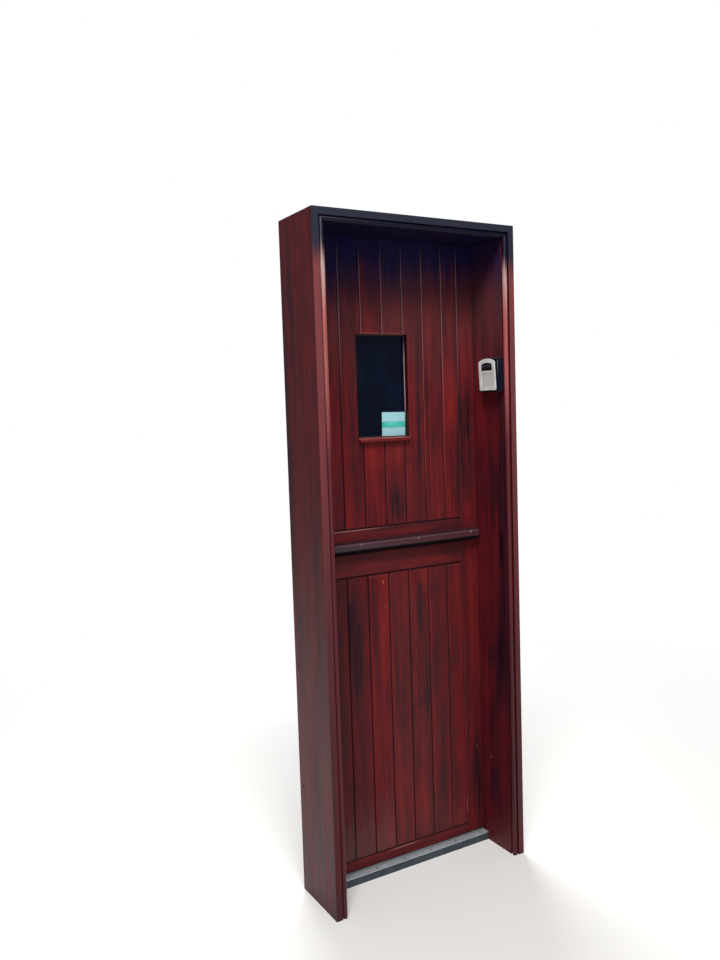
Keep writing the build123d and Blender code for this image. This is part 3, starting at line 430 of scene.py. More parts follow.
# Besides dust and pale edges, this holds painted light: the head's shade, red joint highlights, shade lines at rails.
boardDustAndPaintedLight = {
    "arris": 0.4 * mm, "topShade": 0.93, "lockSide": "123",
    "lockSideLook": {"gloss": 0.12, "tint": (1.0, 0.88, 0.94), "shadeCast": 0.18},
    "redGlint": {"6": 0.38, "7": 0.38}, "rubbed": {"3": 0.45, "7": 0.3}, "dust": 0.03, "lockSideDust": 0.13,
    "footLine": (1.2, 2.4, 0.75, "dirt"), "headLine": (-1.2, 2.6, 0.75, "dirt"), "rubbedLine": (-6.2, 1.6),
    "overWindow": "34", "windowLine": (1676.5, 2.2, 0.5, "rubbed"),
}


def dressBoards():
    wear = boardDustAndPaintedLight
    for seed, (name, look) in enumerate(boards.items(), start=1):
        number = name[-1]
        onLockSide = number in wear["lockSide"]
        foot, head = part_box(name)
        look.update(seed=seed, joint=foot.x, topShade=wear["topShade"])
        if onLockSide:
            look.update(wear["lockSideLook"])
        # A board's foot line, and a lower board's head line, are painted shade in the gap at the rail.
        rise, *line = wear["footLine"]
        look["lines"] = [(foot.z / mm + rise, *line)]
        if name.startswith("upper"):
            look["redGlint"] = wear["redGlint"].get(number, 0.0)
            if number in wear["overWindow"]:
                look["lines"].append(wear["windowLine"])
        else:
            look["dust"] = wear["lockSideDust"] if onLockSide else wear["dust"]
            rise, *line = wear["headLine"]
            look["lines"].append((head.z / mm + rise, *line))
            if number in wear["rubbed"]:
                rise, half = wear["rubbedLine"]
                look["lines"].append((head.z / mm + rise, half, wear["rubbed"][number], "rubbed"))
        dress(name, stainedWood(name, look))
        soften(name, wear["arris"])


stiles = {
    "upper_stile_left": {"tone": 0.42},
    "upper_stile_right": {"clouds": [
        (272, 1111, 16, 40, -0.1), (277, 1240, 30, 120, 0.2), (268, 1420, 26, 90, 0.24),
        (281, 1650, 40, 130, -0.18)]},
    "lower_stile_left": {"tone": 0.42, "lines": [underBar]},
    "lower_stile_right": {
        "lines": [underBar], "clouds": [(282, 200, 26, 170, 0.2), (275, 800, 16, 220, -0.12)],
        "marks": [(290, 0, 318, (1.6, 5, 3), (190, 110, 104), 0.8),
                  (246, 0, 125, (1.2, 5, 32), (160, 112, 110), 0.4)]},
}

rails = {
    "upper_top_rail": {"topShade": 0.93},
    "upper_middle_rail": {},
    "window_lining": {"grain": "z"},
    "window_beads": {"grain": "z"},
    # The dark lines on the rails are painted shade where they meet the boards.
    "upper_bottom_rail": {
        "tone": 0.42, "lines": [(1090, 2.2, 0.75, "dirt")], "clouds": [(60, 1070, 80, 16, -0.1)],
        # The pale line along this rail's top arris is partly wear and partly painted highlight.
        "marks": [(-160, 0, 1085.8, (130, 5, 1.9), (150, 112, 114), 0.6)]},
    "lower_top_rail": {
        "tone": 0.42, "lines": [underBar, (945.4, 2.0, 0.8, "dirt")], "clouds": [(215, 975, 40, 24, 0.15)]},
    "lower_bottom_rail": {
        # The pale mark on this rail's top arris is partly wear and partly painted highlight.
        "lines": [(60.8, 2.4, 0.85, "dirt")], "marks": [(-6, 0, 56, (62, 5, 1.8), (168, 124, 122), 0.6)]},
    "window_sill": {"tone": 0.64, "lines": [(1363.5, 4.5, 0.9, "sillTop")]},
}

doorFrame = {
    "jamb_left": {"tone": 0.42, "topShade": 0.8, "shadeCast": 0.45, "bead": "x"},
    "jamb_right": {
        "tone": 0.44, "topShade": 0.8, "shadeCast": 0.45, "bead": "x", "liningClouds": [
            (-130, 900, 50, 1000, 0.12), (-97, 1155, 36, 150, 0.22), (-127, 1000, 14, 60, 0.3),
            (-38, 751, 12, 90, 0.22), (-105, 650, 30, 100, 0.2), (-64, 633, 22, 60, 0.2),
            (-58, 420, 16, 90, 0.26), (-118, 395, 30, 110, -0.12), (-80, 195, 30, 110, 0.12),
            (-122, 1220, 36, 150, 0.12), (-35, 1170, 30, 120, 0.08), (-35, 1400, 40, 110, -0.14),
            (-35, 880, 40, 160, -0.12), (-30, 1500, 24, 200, -0.14)],
        "marks": [(307.5, -102.7, 1032.8, (5, 5, 7), (30, 12, 20), 0.5),
                  (307.5, -44, 1240, (5, 4, 6), (96, 40, 44), 0.5),
                  (307.5, -51, 291, (5, 3, 3), (186, 120, 120), 0.8)]},
    "frame_head": {"grain": "x", "tone": 0.3, "bead": "z"},
}

joinery = {  # what all pieces of a group share
    # A stile's V-joint takes less painted shade in its groove than a board's.
    "stile": {"topShade": 0.93, "glint": 0.3, "hold": 0.4}, "rail": {"grain": "x"},
    "frame": {"tint": (0.95, 0.78, 1.05), "gloss": 0.22},
    "stileArris": 0.8 * mm, "railArris": 0.6 * mm, "braceArris": 1.2 * mm, "frameArris": 0.8 * mm,
}


def dressJoinery():
    for seed, (name, look) in enumerate(stiles.items(), start=31):
        look.update(seed=seed, joint=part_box(name)[0].x)
        dress(name, stainedWood(name, {**joinery["stile"], **look}))
        soften(name, joinery["stileArris"])
    for seed, (name, look) in enumerate(rails.items(), start=41):
        dress(name, stainedWood(name, {**joinery["rail"], **look, "seed": seed}))
        soften(name, joinery["railArris"])
    low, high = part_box("lower_brace")
    slope = math.atan2(high.x - low.x, high.z - low.z)
    dress("lower_brace", stainedWood("lower_brace", {"grain": slope, "seed": 51}))
    soften("lower_brace", joinery["braceArris"])
    for seed, (name, look) in enumerate(doorFrame.items(), start=61):
        dress(name, stainedWood(name, {**joinery["frame"], **look, "seed": seed}))
        soften(name, joinery["frameArris"])


dripBar = {
    "left": rgb(60, 48, 58), "right": rgb(70, 38, 42), "slope": rgb(40, 22, 30), "ledge": rgb(88, 62, 64),
    # The near-black foot is painted shade; the pale ledge colour is a painted highlight.
    "foot": rgb(2, 1, 4),
    "grainWidth": 3 * mm, "grainLength": 160 * mm, "seed": 5, "noise": (1.0, 4.0, 0.6, 0.3), "ragged": 0.5,
    "across": (-0.26, 0.16), "streaks": (0.3, 0.75), "streakShare": 0.45,
    "slopeDepth": (-21 * mm, -17 * mm), "slopeRise": (1046 * mm, 1048 * mm),
    "ledgeDepth": (-18 * mm, -22 * mm), "ledgeRise": (1044 * mm, 1046.5 * mm), "ledgeShare": 0.6,
    "footShadeFall": (1031 * mm, 1029 * mm), "dullFall": (1032 * mm, 1030 * mm),
    "roughness": (0.45, 0.6), "gloss": 0.2, "bump": (0.3, 0.2 * mm), "arris": 0.8 * mm,
}


def dressDripBar():
    # Weathered grey at the open end and redder towards the hinges, with a pale painted highlight on the top arris
    # and painted shade, near black, along the foot of the face.
    look = dripBar
    material, tree, place = newMaterial("dripBarStain")
    x, y, z = axesOf(tree, place)
    cells = grainCoordinates(tree, place, "x", look["grainWidth"], look["grainLength"], look["seed"])
    streaks = noise(tree, cells, *look["noise"])
    across = plus(tree, x, calc(tree, "SUBTRACT", streaks, 0.5), look["ragged"])
    colour = blend(tree, smooth(tree, across, *look["across"]), look["left"], look["right"])
    colour = blend(tree, smooth(tree, streaks, *look["streaks"], 0.0, look["streakShare"]), colour, stain["dark"])
    slope = times(tree, smooth(tree, y, *look["slopeDepth"]), smooth(tree, z, *look["slopeRise"]))
    colour = blend(tree, slope, colour, look["slope"])
    # Painted highlight along the top arris.
    ledge = times(tree, smooth(tree, z, *look["ledgeRise"]), smooth(tree, y, *look["ledgeDepth"]),
                  look["ledgeShare"])
    colour = blend(tree, ledge, colour, look["ledge"])
    # Painted shade, near black, along the foot of the bar's face.
    colour = blend(tree, smooth(tree, z, *look["footShadeFall"]), colour, look["foot"])
    rough = calc(tree, "MAXIMUM", smooth(tree, streaks, *noiseSpread, *look["roughness"]),
                 smooth(tree, z, *look["dullFall"]))
    finishShader(tree, colour, rough, look["gloss"], bump=(streaks, look["bump"]))
    dress("drip_bar", material)
    soften("drip_bar", look["arris"])


# Metals, paint, glass and plastic

plainFitting = {"grain": 3 * mm, "stretch": (1, 1, 1), "roughness": (0.35, 0.5), "metallic": 0.0, "gloss": 0.5,
                "bump": (0.15, 0.1 * mm), "arris": 0.25 * mm}
mottling = {"mottle": (1.0, 4.0, 0.6), "mottleShare": 0.6, "cloud": (25.0, 3.0, 0.55), "cloudShare": 0.4,
            "blend": (0.35, 0.65)}
nearLeafFade = {"near": (-4 * mm, 4 * mm), "ragged": 0.02, "share": 0.6}
# Painted highlight on the key safe case's front arris and top.
caseHighlight = {"front": (284.4 * mm, 282.8 * mm), "side": (3 * mm, 1 * mm), "rise": (-70 * mm, -6 * mm),
            "top": (-3.4 * mm, -1.6 * mm), "topShare": 0.5, "mottle": (0.3, 0.5), "least": 0.5}


def fittingFinish(name, changes):
    # One finish with fine mottling, drawn out into brush marks where its stretch is uneven.
    look = {**plainFitting, **changes}
    material, tree, place = newMaterial(name)
    cells = vectorCalc(tree, "MULTIPLY", place, tuple(stretch / look["grain"] for stretch in look["stretch"]))
    mottle = noise(tree, cells, *mottling["mottle"])
    cloud = noise(tree, place, *mottling["cloud"])
    amount = plus(tree, times(tree, mottle, mottling["mottleShare"]), cloud, mottling["cloudShare"])
    colour = blend(tree, smooth(tree, amount, *mottling["blend"]), look["dark"], look["light"])
    if "nearLeaf" in look:  # darker next to the leaf
        y = axesOf(tree, place)["Y"]
        near = smooth(tree, plus(tree, y, cloud, nearLeafFade["ragged"]), *nearLeafFade["near"], 0.0, nearLeafFade["share"])
        colour = blend(tree, near, colour, look["nearLeaf"])
    if "rubbed" in look:
        colour = rubCase(tree, colour, place, mottle, look["rubbed"])
    finishShader(tree, colour, smooth(tree, mottle, *noiseSpread, *look["roughness"]), look["gloss"],
                 look["metallic"], (mottle, look["bump"]))
    return material


def rubCase(tree, colour, place, mottle, tint):
    # A painted highlight on the key safe's case, along its front arris and most at the top corner.
    low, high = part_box("key_safe_case")
    x, y, z = axesOf(tree, place)
    inward, upward = calc(tree, "SUBTRACT", y, low.y), calc(tree, "SUBTRACT", z, high.z)
    front = times(tree, smooth(tree, x, *caseHighlight["front"]), smooth(tree, inward, *caseHighlight["side"]),
                  smooth(tree, upward, *caseHighlight["rise"]))
    top = times(tree, smooth(tree, upward, *caseHighlight["top"]), caseHighlight["topShare"])
    rubbed = times(tree, calc(tree, "MAXIMUM", front, top),
                   smooth(tree, mottle, *caseHighlight["mottle"], caseHighlight["least"], 1.0))
    return blend(tree, rubbed, colour, tint)


finishes = {
    "zinc": {"dark": (0.34, 0.34, 0.35), "light": (0.56, 0.56, 0.57), "metallic": 1.0, "roughness": (0.3, 0.45),
             "grain": 0.6 * mm},
    "steel": {"dark": (0.36, 0.36, 0.37), "light": (0.55, 0.55, 0.56), "metallic": 1.0, "roughness": (0.28, 0.42),
              "stretch": (1, 1, 0.08), "grain": 0.8 * mm},
    "black": {"dark": rgb(14, 14, 15), "light": rgb(27, 27, 28), "grain": 1.2 * mm},
    "brass": {"dark": (0.40, 0.27, 0.10), "light": (0.62, 0.44, 0.19), "metallic": 1.0, "roughness": (0.25, 0.4)},
    "screw": {"dark": (0.10, 0.06, 0.06), "light": (0.26, 0.19, 0.17), "metallic": 0.3, "roughness": (0.4, 0.6),
              "grain": 1.0 * mm},
    "strip": {"dark": rgb(142, 150, 157), "light": rgb(178, 187, 193), "nearLeaf": rgb(84, 86, 92),
              "metallic": 0.35, "stretch": (0.04, 1, 1), "grain": 0.8 * mm},
    "threshold": {"dark": rgb(32, 43, 54), "light": rgb(50, 63, 74), "roughness": (0.5, 0.7), "grain": 4 * mm,
                  "stretch": (0.15, 1, 1), "bump": (0.4, 0.1 * mm), "arris": 1.5 * mm},
    # The key safe case's pale edge colour is a painted highlight.
    "safeCase": {"dark": rgb(2, 7, 22), "light": rgb(6, 13, 34), "roughness": (0.4, 0.5), "grain": 0.5 * mm,
                 "gloss": 0.2, "rubbed": rgb(96, 100, 112)},
    "bezel": {"dark": rgb(8, 10, 14), "light": rgb(16, 18, 24), "roughness": (0.25, 0.35)},
    "wheel": {"dark": rgb(14, 19, 31), "light": rgb(26, 34, 50), "roughness": (0.4, 0.5), "grain": 0.6 * mm},
}

finishOf = {
    "steel": ["frame_hinge_leaves", "hinge_pins", "upper_hinge_leaves", "lower_hinge_leaves", "lock_strike",
              "lock_case", "lock_bolt", "key_safe_axle"],
    "black": ["joining_bolt_case", "joining_bolt_rod", "joining_bolt_keep", "lock_escutcheon", "pull_handle"],
    "brass": ["lock_cylinder", "lock_turn"],
    "screw": ["threshold_screws", "drip_bar_screws"],
    "strip": ["threshold_strip"],
    "threshold": ["threshold"],
    "safeCase": ["key_safe_case", "key_safe_hinge_pin"],
    "bezel": ["key_safe_bezel", "key_safe_release"],
    "wheel": ["number_wheel_1", "number_wheel_2", "number_wheel_3", "number_wheel_4"],
}


def dressFittings():
    for finish, names in finishOf.items():
        material = fittingFinish(finish, finishes[finish])
        for name in names:
            dress(name, material)
            soften(name, finishes[finish].get("arris", plainFitting["arris"]))


keySafeDoor = {
    "silver": rgb(226, 228, 228), "panel": rgb(203, 206, 201), "side": rgb(8, 10, 16), "dull": 0.86,
    "footFace": 277.6 * mm, "topFace": 272.5 * mm, "foot": 1497.5 * mm, "top": 1593.5 * mm,
    "panelLow": 1507.8 * mm, "panelHigh": 1550.2 * mm, "panelHalf": 29.6 * mm, "panelEdge": 0.4 * mm,
    "middle": -110.5 * mm, "behind": (1.0 * mm, 1.5 * mm), "cloud": (40.0, 3.0, 0.5), "cloudBlend": (0.35, 0.7),
    "speckle": (2600.0, 2.0, 0.6), "roughness": (0.36, 0.48), "metallic": 0.15, "bump": (0.12, 0.05 * mm),
}


def dressKeySafeDoor():
    # Silver paint on the face, a duller recessed panel, and black moulded sides.
    look = keySafeDoor
    material, tree, place = newMaterial("keySafeSilver")
    x, y, z = axesOf(tree, place)
    speckle = noise(tree, place, *look["speckle"])
    cloud = noise(tree, place, *look["cloud"])
    silver = blend(tree, smooth(tree, cloud, *look["cloudBlend"]), look["silver"],
                   tinted(look["silver"], look["dull"]))
    sideways = calc(tree, "ABSOLUTE", calc(tree, "SUBTRACT", y, look["middle"]))
    edge = look["panelEdge"]
    inPanel = times(tree, smooth(tree, sideways, look["panelHalf"] + edge, look["panelHalf"] - edge),
                    between(tree, z, look["panelLow"] - edge, look["panelHigh"] + edge, 2 * edge))
    colour = blend(tree, inPanel, silver, look["panel"])
    lean = (look["topFace"] - look["footFace"]) / (look["top"] - look["foot"])
    face = plus(tree, look["footFace"], calc(tree, "SUBTRACT", z, look["foot"]), lean)
    behind = smooth(tree, calc(tree, "SUBTRACT", x, face), *look["behind"])
    colour = blend(tree, behind, colour, look["side"])
    finishShader(tree, colour, smooth(tree, speckle, *noiseSpread, *look["roughness"]),
                 metallic=look["metallic"], bump=(speckle, look["bump"]))
    dress("key_safe_door", material)


glass = {"clear": rgb(1, 6, 24), "dusty": rgb(6, 15, 34), "dust": (14.0, 4.0, 0.6), "dustBlend": (0.4, 0.75),
         "dustSpread": (0.3, 0.8), "roughness": (0.03, 0.12), "gloss": 0.24}


def dressGlass():
    material, tree, place = newMaterial("windowGlass")
    dust = noise(tree, place, *glass["dust"])
    colour = blend(tree, smooth(tree, dust, *glass["dustBlend"]), glass["clear"], glass["dusty"])
    finishShader(tree, colour, smooth(tree, dust, *glass["dustSpread"], *glass["roughness"]), glass["gloss"])
    dress("window_glass", material)


# Small fittings that the solids leave out

def addObject(name, data):
    piece = bpy.data.objects.new(name, data)
    bpy.context.scene.collection.objects.link(piece)
    return piece


def pieceFrom(mesh, name, material, body):
    bmesh.ops.recalc_face_normals(mesh, faces=mesh.faces)
    data = bpy.data.meshes.new(name)
    mesh.to_mesh(data)
    mesh.free()
    data.materials.append(material)
    piece = addObject(name, data)
    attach(piece, body)


def joinRings(mesh, low, high):
    for index in range(len(low)):
        following = (index + 1) % len(low)
        mesh.faces.new((low[index], low[following], high[following], high[index]))


sticker = {
    "left": -33.5 * mm, "right": 50.5 * mm, "low": 1365 * mm, "high": 1438 * mm,
    "thickness": 0.25 * mm, "corner": 2 * mm, "cornerSteps": 6, "tilt": 1.0,
    "bandLow": 1391 * mm, "bandHigh": 1409 * mm, "bandSoft": 0.5 * mm,
    "paper": rgb(150, 198, 206), "faded": 0.86, "band": rgb(34, 168, 150), "patch": rgb(100, 200, 190),
    "rule": rgb(96, 128, 132), "ruleHalf": (1.2 * mm, 0.6 * mm), "ruleShare": 0.6,
    "grain": (420.0, 3.0, 0.6), "fade": (30.0, 3.0, 0.5), "patchBlend": (0.4, 0.7), "roughness": (0.35, 0.5),
}


def stickerMaterial():
    look = sticker
    material, tree, place = newMaterial("stickerPaper")
    z = axesOf(tree, place)["Z"]
    grain = noise(tree, place, *look["grain"])
    fade = noise(tree, place, *look["fade"])
    paper = blend(tree, fade, tinted(look["paper"], look["faded"]), look["paper"])
    band = blend(tree, smooth(tree, fade, *look["patchBlend"]), look["band"], look["patch"])
    colour = blend(tree, between(tree, z, look["bandLow"], look["bandHigh"], look["bandSoft"]), paper, band)
    for edge in (look["bandLow"], look["bandHigh"]):
        away = calc(tree, "ABSOLUTE", calc(tree, "SUBTRACT", z, edge))
        colour = blend(tree, smooth(tree, away, *look["ruleHalf"], 0.0, look["ruleShare"]), colour, look["rule"])
    finishShader(tree, colour, smooth(tree, grain, *noiseSpread, *look["roughness"]))
    return material


def makeSticker():
    # A thin plate with rounded corners, stuck on the front of the glass a little askew.
    look = sticker
    radius, steps = look["corner"], look["cornerSteps"]
    left, right, low, high = (look[key] for key in ("left", "right", "low", "high"))
    mesh = bmesh.new()
    outline = []
    for cornerX, cornerZ, start in ((right - radius, high - radius, 0), (left + radius, high - radius, 90),
                                    (left + radius, low + radius, 180), (right - radius, low + radius, 270)):
        for step in range(steps + 1):
            angle = math.radians(start + 90 * step / steps)
            outline.append(mesh.verts.new((cornerX + radius * math.cos(angle), 0,
                                           cornerZ + radius * math.sin(angle))))
    extruded = bmesh.ops.extrude_face_region(mesh, geom=[mesh.faces.new(outline)])
    for vertex in extruded["geom"]:
        if isinstance(vertex, bmesh.types.BMVert):
            vertex.co.y -= look["thickness"]
    centre = Vector(((left + right) / 2, 0, (low + high) / 2))
    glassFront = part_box("window_glass")[0].y
    askew = (Matrix.Translation((0, glassFront, 0)) @ Matrix.Translation(centre)
             @ Matrix.Rotation(math.radians(look["tilt"]), 4, "Y") @ Matrix.Translation(-centre))
    bmesh.ops.transform(mesh, matrix=askew, verts=mesh.verts)
    pieceFrom(mesh, "window_sticker", stickerMaterial(), "upper_leaf")


glazingBead = {
    "left": -128.3 * mm, "right": 53.7 * mm, "low": 1363.2 * mm, "high": 1674 * mm, "width": 2.4 * mm,
    "depth": 2.0 * mm, "dark": rgb(30, 12, 16), "red": rgb(70, 24, 28), "pale": rgb(150, 112, 108),
    "grain": (260.0, 3.0, 0.6), "grainBlend": (0.35, 0.7), "rubbedSide": (0.0, 0.04),
    "rubbedRise": (1.41, 1.66, 0.06), "rubbedShare": 0.75, "roughness": (0.55, 0.75),
}


def makeGlazingBead():
    # A thin fillet of mastic where the glass meets the reveal.
    look = glazingBead
    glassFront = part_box("window_glass")[0].y
    mesh = bmesh.new()

    def rectangle(inset, depth):
        left, right = look["left"] + inset, look["right"] - inset
        low, high = look["low"] + inset, look["high"] - inset
        return [mesh.verts.new((px, glassFront - depth, pz))
                for px, pz in ((left, low), (right, low), (right, high), (left, high))]

    back, front, toe = rectangle(0, 0), rectangle(0, look["depth"]), rectangle(look["width"], 0)
    for low, high in ((back, front), (front, toe), (toe, back)):
        joinRings(mesh, low, high)
    material, tree, place = newMaterial("glazingMastic")
    axes = axesOf(tree, place)
    grain = noise(tree, place, *look["grain"])
    colour = blend(tree, smooth(tree, grain, *look["grainBlend"]), look["dark"], look["red"])
    rubbed = times(tree, smooth(tree, axes["X"], *look["rubbedSide"]),
                   between(tree, axes["Z"], *look["rubbedRise"]), look["rubbedShare"])
    colour = blend(tree, rubbed, colour, look["pale"])
    finishShader(tree, colour, smooth(tree, grain, *noiseSpread, *look["roughness"]))
    pieceFrom(mesh, "glazing_bead", material, "upper_leaf")


wheelDigits = {"size": 4.3 * mm, "thickness": 0.12 * mm, "proud": 0.04 * mm, "curveSteps": 3, "merge": 0.004 * mm,
               "colour": rgb(150, 162, 180), "wearAndPaintedLight": 0.6, "wear": (1800.0, 3.0, 0.6), "wearBlend": (0.35, 0.65),
               "roughness": (0.4, 0.6), "start": (3, 7, 1, 5)}


def digitMaterial():
    look = wheelDigits
    material, tree, place = newMaterial("digitPaint")
    wear = noise(tree, place, *look["wear"])
    colour = blend(tree, smooth(tree, wear, *look["wearBlend"]), tinted(look["colour"], look["wearAndPaintedLight"]),
                   look["colour"])
    finishShader(tree, colour, smooth(tree, wear, *noiseSpread, *look["roughness"]))
    return material


def digitShape(digit):  # the points and faces of one number, lying flat
    text = bpy.data.curves.new(f"digit{digit}", "FONT")
    text.body = str(digit)
    text.size = wheelDigits["size"]
    text.align_x, text.align_y = "CENTER", "CENTER"
    text.extrude = wheelDigits["thickness"] / 2
    text.resolution_u = wheelDigits["curveSteps"]
    holder = addObject(f"digit{digit}", text)
    bpy.context.view_layer.update()
    flat = bpy.data.meshes.new_from_object(holder)
    points = [vertex.co.copy() for vertex in flat.vertices]
    faces = [tuple(polygon.vertices) for polygon in flat.polygons]
    bpy.data.objects.remove(holder)
    bpy.data.curves.remove(text)
    bpy.data.meshes.remove(flat)
    return points, faces


def makeWheelDigits():
    # The numbers 0 to 9 round each wheel, wrapped on its rim and raised a little.
    look = wheelDigits
    material = digitMaterial()
    shapes = [digitShape(digit) for digit in range(10)]
    for wheel, start in enumerate(look["start"], start=1):
        low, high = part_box(f"number_wheel_{wheel}")
        centre = (low + high) / 2
        radius = (high.z - low.z) / 2 + look["proud"] - look["thickness"] / 2
        mesh = bmesh.new()
        for digit, (points, faces) in enumerate(shapes):
            base = math.tau * ((digit - start) % 10) / 10
            made = []
            for point in points:
                angle = base + point.y / radius
                reach = radius + point.z
                made.append(mesh.verts.new((centre.x - reach * math.cos(angle), centre.y - point.x,
                                            centre.z + reach * math.sin(angle))))
            for face in faces:
                mesh.faces.new([made[index] for index in face])
        bmesh.ops.remove_doubles(mesh, verts=mesh.verts, dist=look["merge"])
        pieceFrom(mesh, f"wheel_digits_{wheel}", material, f"number_wheel_{wheel}")


# Countersunk screws with a cross recess. Heights, depths and places are in mm, shares are of a head's radius.
fixingScrew = {"sides": 24, "proud": 0.25, "sunk": 1.2, "rimShare": 0.86, "edgeRise": 0.1, "footShare": 0.7,
               "crossArm": 0.56, "crossHalf": 0.13, "crossDepth": 0.9, "pitShare": 0.75}
hingeScrews = {"heights": (179.5, 871.5, 1174.5, 1815), "offsets": ((-38, 21), (-13, 33), (13, 21), (38, 33)),
               "meeting": 1000, "frameFace": 320.5, "leafFace": 317.5, "radius": 3.6}
lockScrews = {"heights": (798, 906), "across": 22, "strike": -320.5, "forend": -317.5, "radius": 3.2}
plateScrews = {
    "pullPlate": {"body": "lower_leaf", "middle": -272.5, "aside": 13, "face": 47, "heights": (648, 868)},
    "boltPlate": {"body": "upper_leaf", "middle": -281, "aside": 12.6, "face": 46.5, "heights": (1066, 1173)},
    "keepPlate": {"body": "lower_leaf", "middle": -281, "aside": 12.6, "face": 46.5, "heights": (999.5,)},
}
plateScrewRadius = 2.6
safeScrews = {"face": 305, "middle": -110.5, "aside": 30, "heights": (1505, 1580), "radius": 3.0}
screwFinishes = {"steel": {"name": "screwZinc", "finish": "zinc", "slot": "steel_furniture"},
                 "black": {"name": "screwBlack", "finish": "black", "slot": "black_furniture"}}


def addScrewHead(mesh, centre, outward, radius, turn):
    look = fixingScrew
    lift = Vector(outward).to_track_quat("Z", "Y").to_matrix().to_4x4()
    place = Matrix.Translation(Vector(centre) * mm) @ lift @ Matrix.Rotation(turn, 4, "Z") @ Matrix.Scale(mm, 4)

    def ring(outline, share, height):
        return [mesh.verts.new(place @ Vector((px * share * radius, py * share * radius, height)))
                for px, py in outline]

    angles = [math.tau * step / look["sides"] for step in range(look["sides"])]
    circle = [(math.cos(angle), math.sin(angle)) for angle in angles]
    arm, half = look["crossArm"], look["crossHalf"]
    cross = []
    for quarter in range(4):
        cosine, sine = math.cos(quarter * math.pi / 2), math.sin(quarter * math.pi / 2)
        cross += [(px * cosine - py * sine, px * sine + py * cosine)
                  for px, py in ((half, -half), (arm, -half), (arm, half))]
    rim, edge = ring(circle, look["rimShare"], look["proud"]), ring(circle, 1, look["edgeRise"])
    foot = ring(circle, look["footShare"], -look["sunk"])
    mouth = ring(cross, 1, look["proud"])
    pit = ring(cross, look["pitShare"], look["proud"] - look["crossDepth"])
    for low, high in ((rim, edge), (edge, foot), (mouth, pit)):
        joinRings(mesh, low, high)
    mesh.faces.new(foot)
    mesh.faces.new(pit)
    borders = [mesh.edges.get((loop[index], loop[(index + 1) % len(loop)])) for loop in (rim, mouth)
               for index in range(len(loop))]
    bmesh.ops.triangle_fill(mesh, edges=borders, use_beauty=True)


def makeFixingScrews():
    # One mesh for each body and finish, so that the screws ride with what they hold.
    groups = {}

    def add(body, finish, centre, outward, radius):
        groups.setdefault((body, finish), []).append((centre, outward, radius))

    left, right, inside = (-1, 0, 0), (1, 0, 0), (0, 1, 0)
    for height in hingeScrews["heights"]:
        leaf = "lower_leaf" if height < hingeScrews["meeting"] else "upper_leaf"
        for rise, depth in hingeScrews["offsets"]:
            for body, face, outward in (("frame", "frameFace", left), (leaf, "leafFace", right)):
                add(body, "steel", (hingeScrews[face], depth, height + rise), outward, hingeScrews["radius"])
    for height in lockScrews["heights"]:
        for body, face, outward in (("frame", "strike", right), ("lower_leaf", "forend", left)):
            add(body, "steel", (lockScrews[face], lockScrews["across"], height), outward, lockScrews["radius"])
    for plate in plateScrews.values():
        for side in (-plate["aside"], plate["aside"]):
            for height in plate["heights"]:
                add(plate["body"], "black", (plate["middle"] + side, plate["face"], height), inside,
                    plateScrewRadius)
    for side in (-safeScrews["aside"], safeScrews["aside"]):
        for height in safeScrews["heights"]:
            add("frame", "steel", (safeScrews["face"], safeScrews["middle"] + side, height), left,
                safeScrews["radius"])
    turns = random.Random(7)
    materials = {key: fittingFinish(value["name"], finishes[value["finish"]])
                 for key, value in screwFinishes.items()}
    for (body, finish), heads in groups.items():
        mesh = bmesh.new()
        for centre, outward, radius in heads:
            addScrewHead(mesh, centre, outward, radius, turns.uniform(0, math.pi / 2))
        pieceFrom(mesh, f"{body}_{finish}_screws", materials[finish], body)


# Camera, lights and floor

view = {
    "place": (-1.4114, -2.2182, 1.4465), "yaw": 30.04, "pitch": 4.66, "roll": 1.86,
    "focalPixels": 853, "longSide": 960, "sensor": 36, "clip": (0.05, 60),
}


def makeCamera():
    yaw, pitch, roll = (math.radians(view[key]) for key in ("yaw", "pitch", "roll"))
    forward = Vector((math.sin(yaw) * math.cos(pitch), math.cos(yaw) * math.cos(pitch), -math.sin(pitch)))
    level = Vector((math.cos(yaw), -math.sin(yaw), 0))
    down = forward.cross(level)
    right = math.cos(roll) * level + math.sin(roll) * down
    up = math.sin(roll) * level - math.cos(roll) * down
    data = bpy.data.cameras.new("photoCamera")
    data.sensor_width = view["sensor"]
    data.lens = view["focalPixels"] * view["sensor"] / view["longSide"]
    data.clip_start, data.clip_end = view["clip"]
    camera = addObject("photoCamera", data)
    camera.matrix_world = Matrix.Translation(view["place"]) @ Matrix((right, up, -forward)).transposed().to_4x4()
    bpy.context.scene.camera = camera


lamps = {
    "keyLamp": {"place": (-1.2, -2.2, 5.0), "target": (0.0, 0, 0.8), "size": (1.9, 1.4), "power": 265,
                "colour": (1.0, 0.985, 0.96)},
    "fillLamp": {"place": (-2.4, -4.2, 1.5), "target": (0, 0, 0.9), "size": (1.6, 2.0), "power": 34,
                 "colour": (0.95, 0.97, 1.0)},
    "backLamp": {"place": (1.2, 3.4, 3.6), "target": (0, 0, 1.0), "size": (2.4, 2.0), "power": 190,
                 "colour": (1.0, 1.0, 1.0)},
}


def makeLamps():
    for name, values in lamps.items():
        data = bpy.data.lights.new(name, "AREA")
        data.shape = "RECTANGLE"
        data.size, data.size_y = values["size"]
        data.energy = values["power"]
        data.color = values["colour"]
        lamp = addObject(name, data)
        lamp.location = values["place"]
        aim = Vector(values["target"]) - Vector(values["place"])
        lamp.rotation_mode = "QUATERNION"
        lamp.rotation_quaternion = aim.to_track_quat("-Z", "Y")


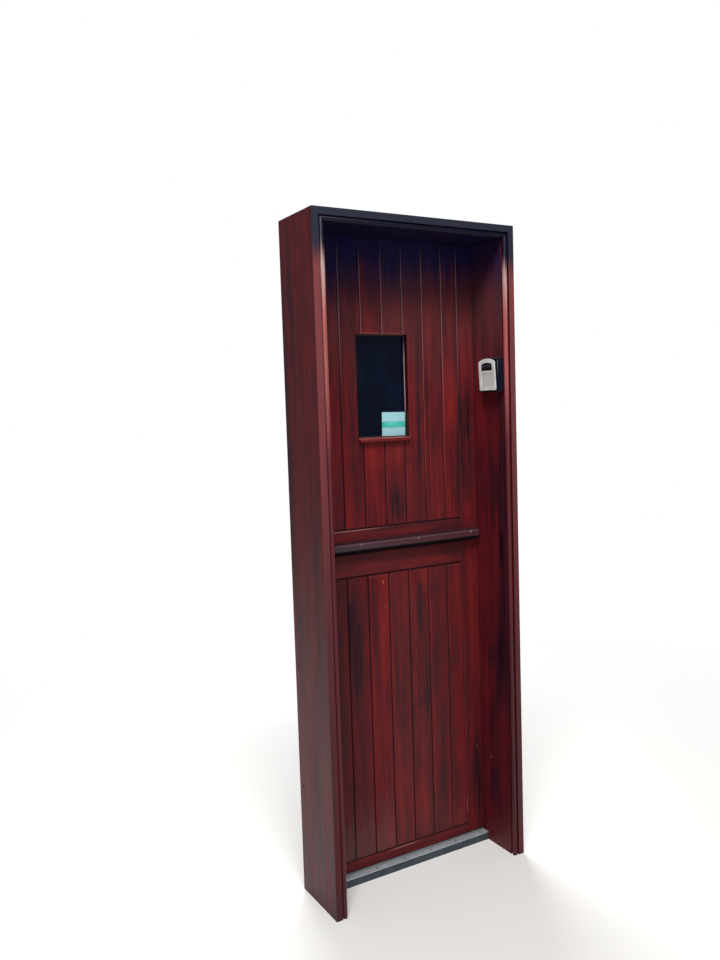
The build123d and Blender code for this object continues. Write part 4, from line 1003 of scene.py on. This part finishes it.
surroundings = {"seen": 1.0, "reflected": 0.22, "ambient": 0.26, "white": (1, 1, 1, 1), "floor": (0.74, 0.735, 0.725),
                "floorDark": 0.97, "floorRoughness": 0.85, "floorCloud": (3.0, 3.0, 0.5), "floorSize": 40,
                "whiteOut": (0.9, 3.0)}


def makeWorld():
    world = bpy.data.worlds.new("studio")
    world.use_nodes = True
    tree = world.node_tree
    tree.nodes.clear()
    path = addNode(tree, "ShaderNodeLightPath")
    mirrored = calc(tree, "MAXIMUM", path.outputs["Is Glossy Ray"], path.outputs["Is Transmission Ray"])
    strength = surroundings["ambient"]
    for ray, value in ((mirrored, "reflected"), (path.outputs["Is Camera Ray"], "seen")):
        strength = addNode(tree, "ShaderNodeMix", {0: ray, 2: strength, 3: surroundings[value]}).outputs[0]
    back = addNode(tree, "ShaderNodeBackground", {"Color": surroundings["white"], "Strength": strength})
    addNode(tree, "ShaderNodeOutputWorld", {0: back.outputs[0]})
    bpy.context.scene.world = world


def makeFloor():
    look = surroundings
    half, level = look["floorSize"] / 2, cadBox[0].z
    data = bpy.data.meshes.new("studioFloor")
    data.from_pydata([(-half, -half, level), (half, -half, level), (half, half, level), (-half, half, level)],
                     [], [(0, 1, 2, 3)])
    floor = addObject("studioFloor", data)
    material, tree, place = newMaterial("studioFloor")
    colour = blend(tree, noise(tree, place, *look["floorCloud"]), tinted(look["floor"], look["floorDark"]),
                   look["floor"])
    shader, output = finishShader(tree, colour, look["floorRoughness"])
    # Far from the door the floor runs into the white backdrop.
    away = addNode(tree, "ShaderNodeVectorMath", {0: place}, operation="LENGTH").outputs[1]
    seen = addNode(tree, "ShaderNodeLightPath").outputs["Is Camera Ray"]
    glow = addNode(tree, "ShaderNodeEmission", {"Color": look["white"], "Strength": look["seen"]})
    mixed = addNode(tree, "ShaderNodeMixShader", {0: times(tree, smooth(tree, away, *look["whiteOut"]), seen),
                                                  1: shader.outputs[0], 2: glow.outputs[0]})
    setInputs(tree, output, {0: mixed.outputs[0]})
    data.materials.append(material)


dressBoards()
dressJoinery()
dressDripBar()
print("wood dressed")
dressFittings()
dressKeySafeDoor()
dressGlass()
print("fittings dressed")
makeSticker()
makeGlazingBead()
makeWheelDigits()
makeFixingScrews()
print("small fittings made")
makeCamera()
makeLamps()
makeWorld()
makeFloor()
bpy.context.scene.view_settings.view_transform = "Standard"
print("stage set")
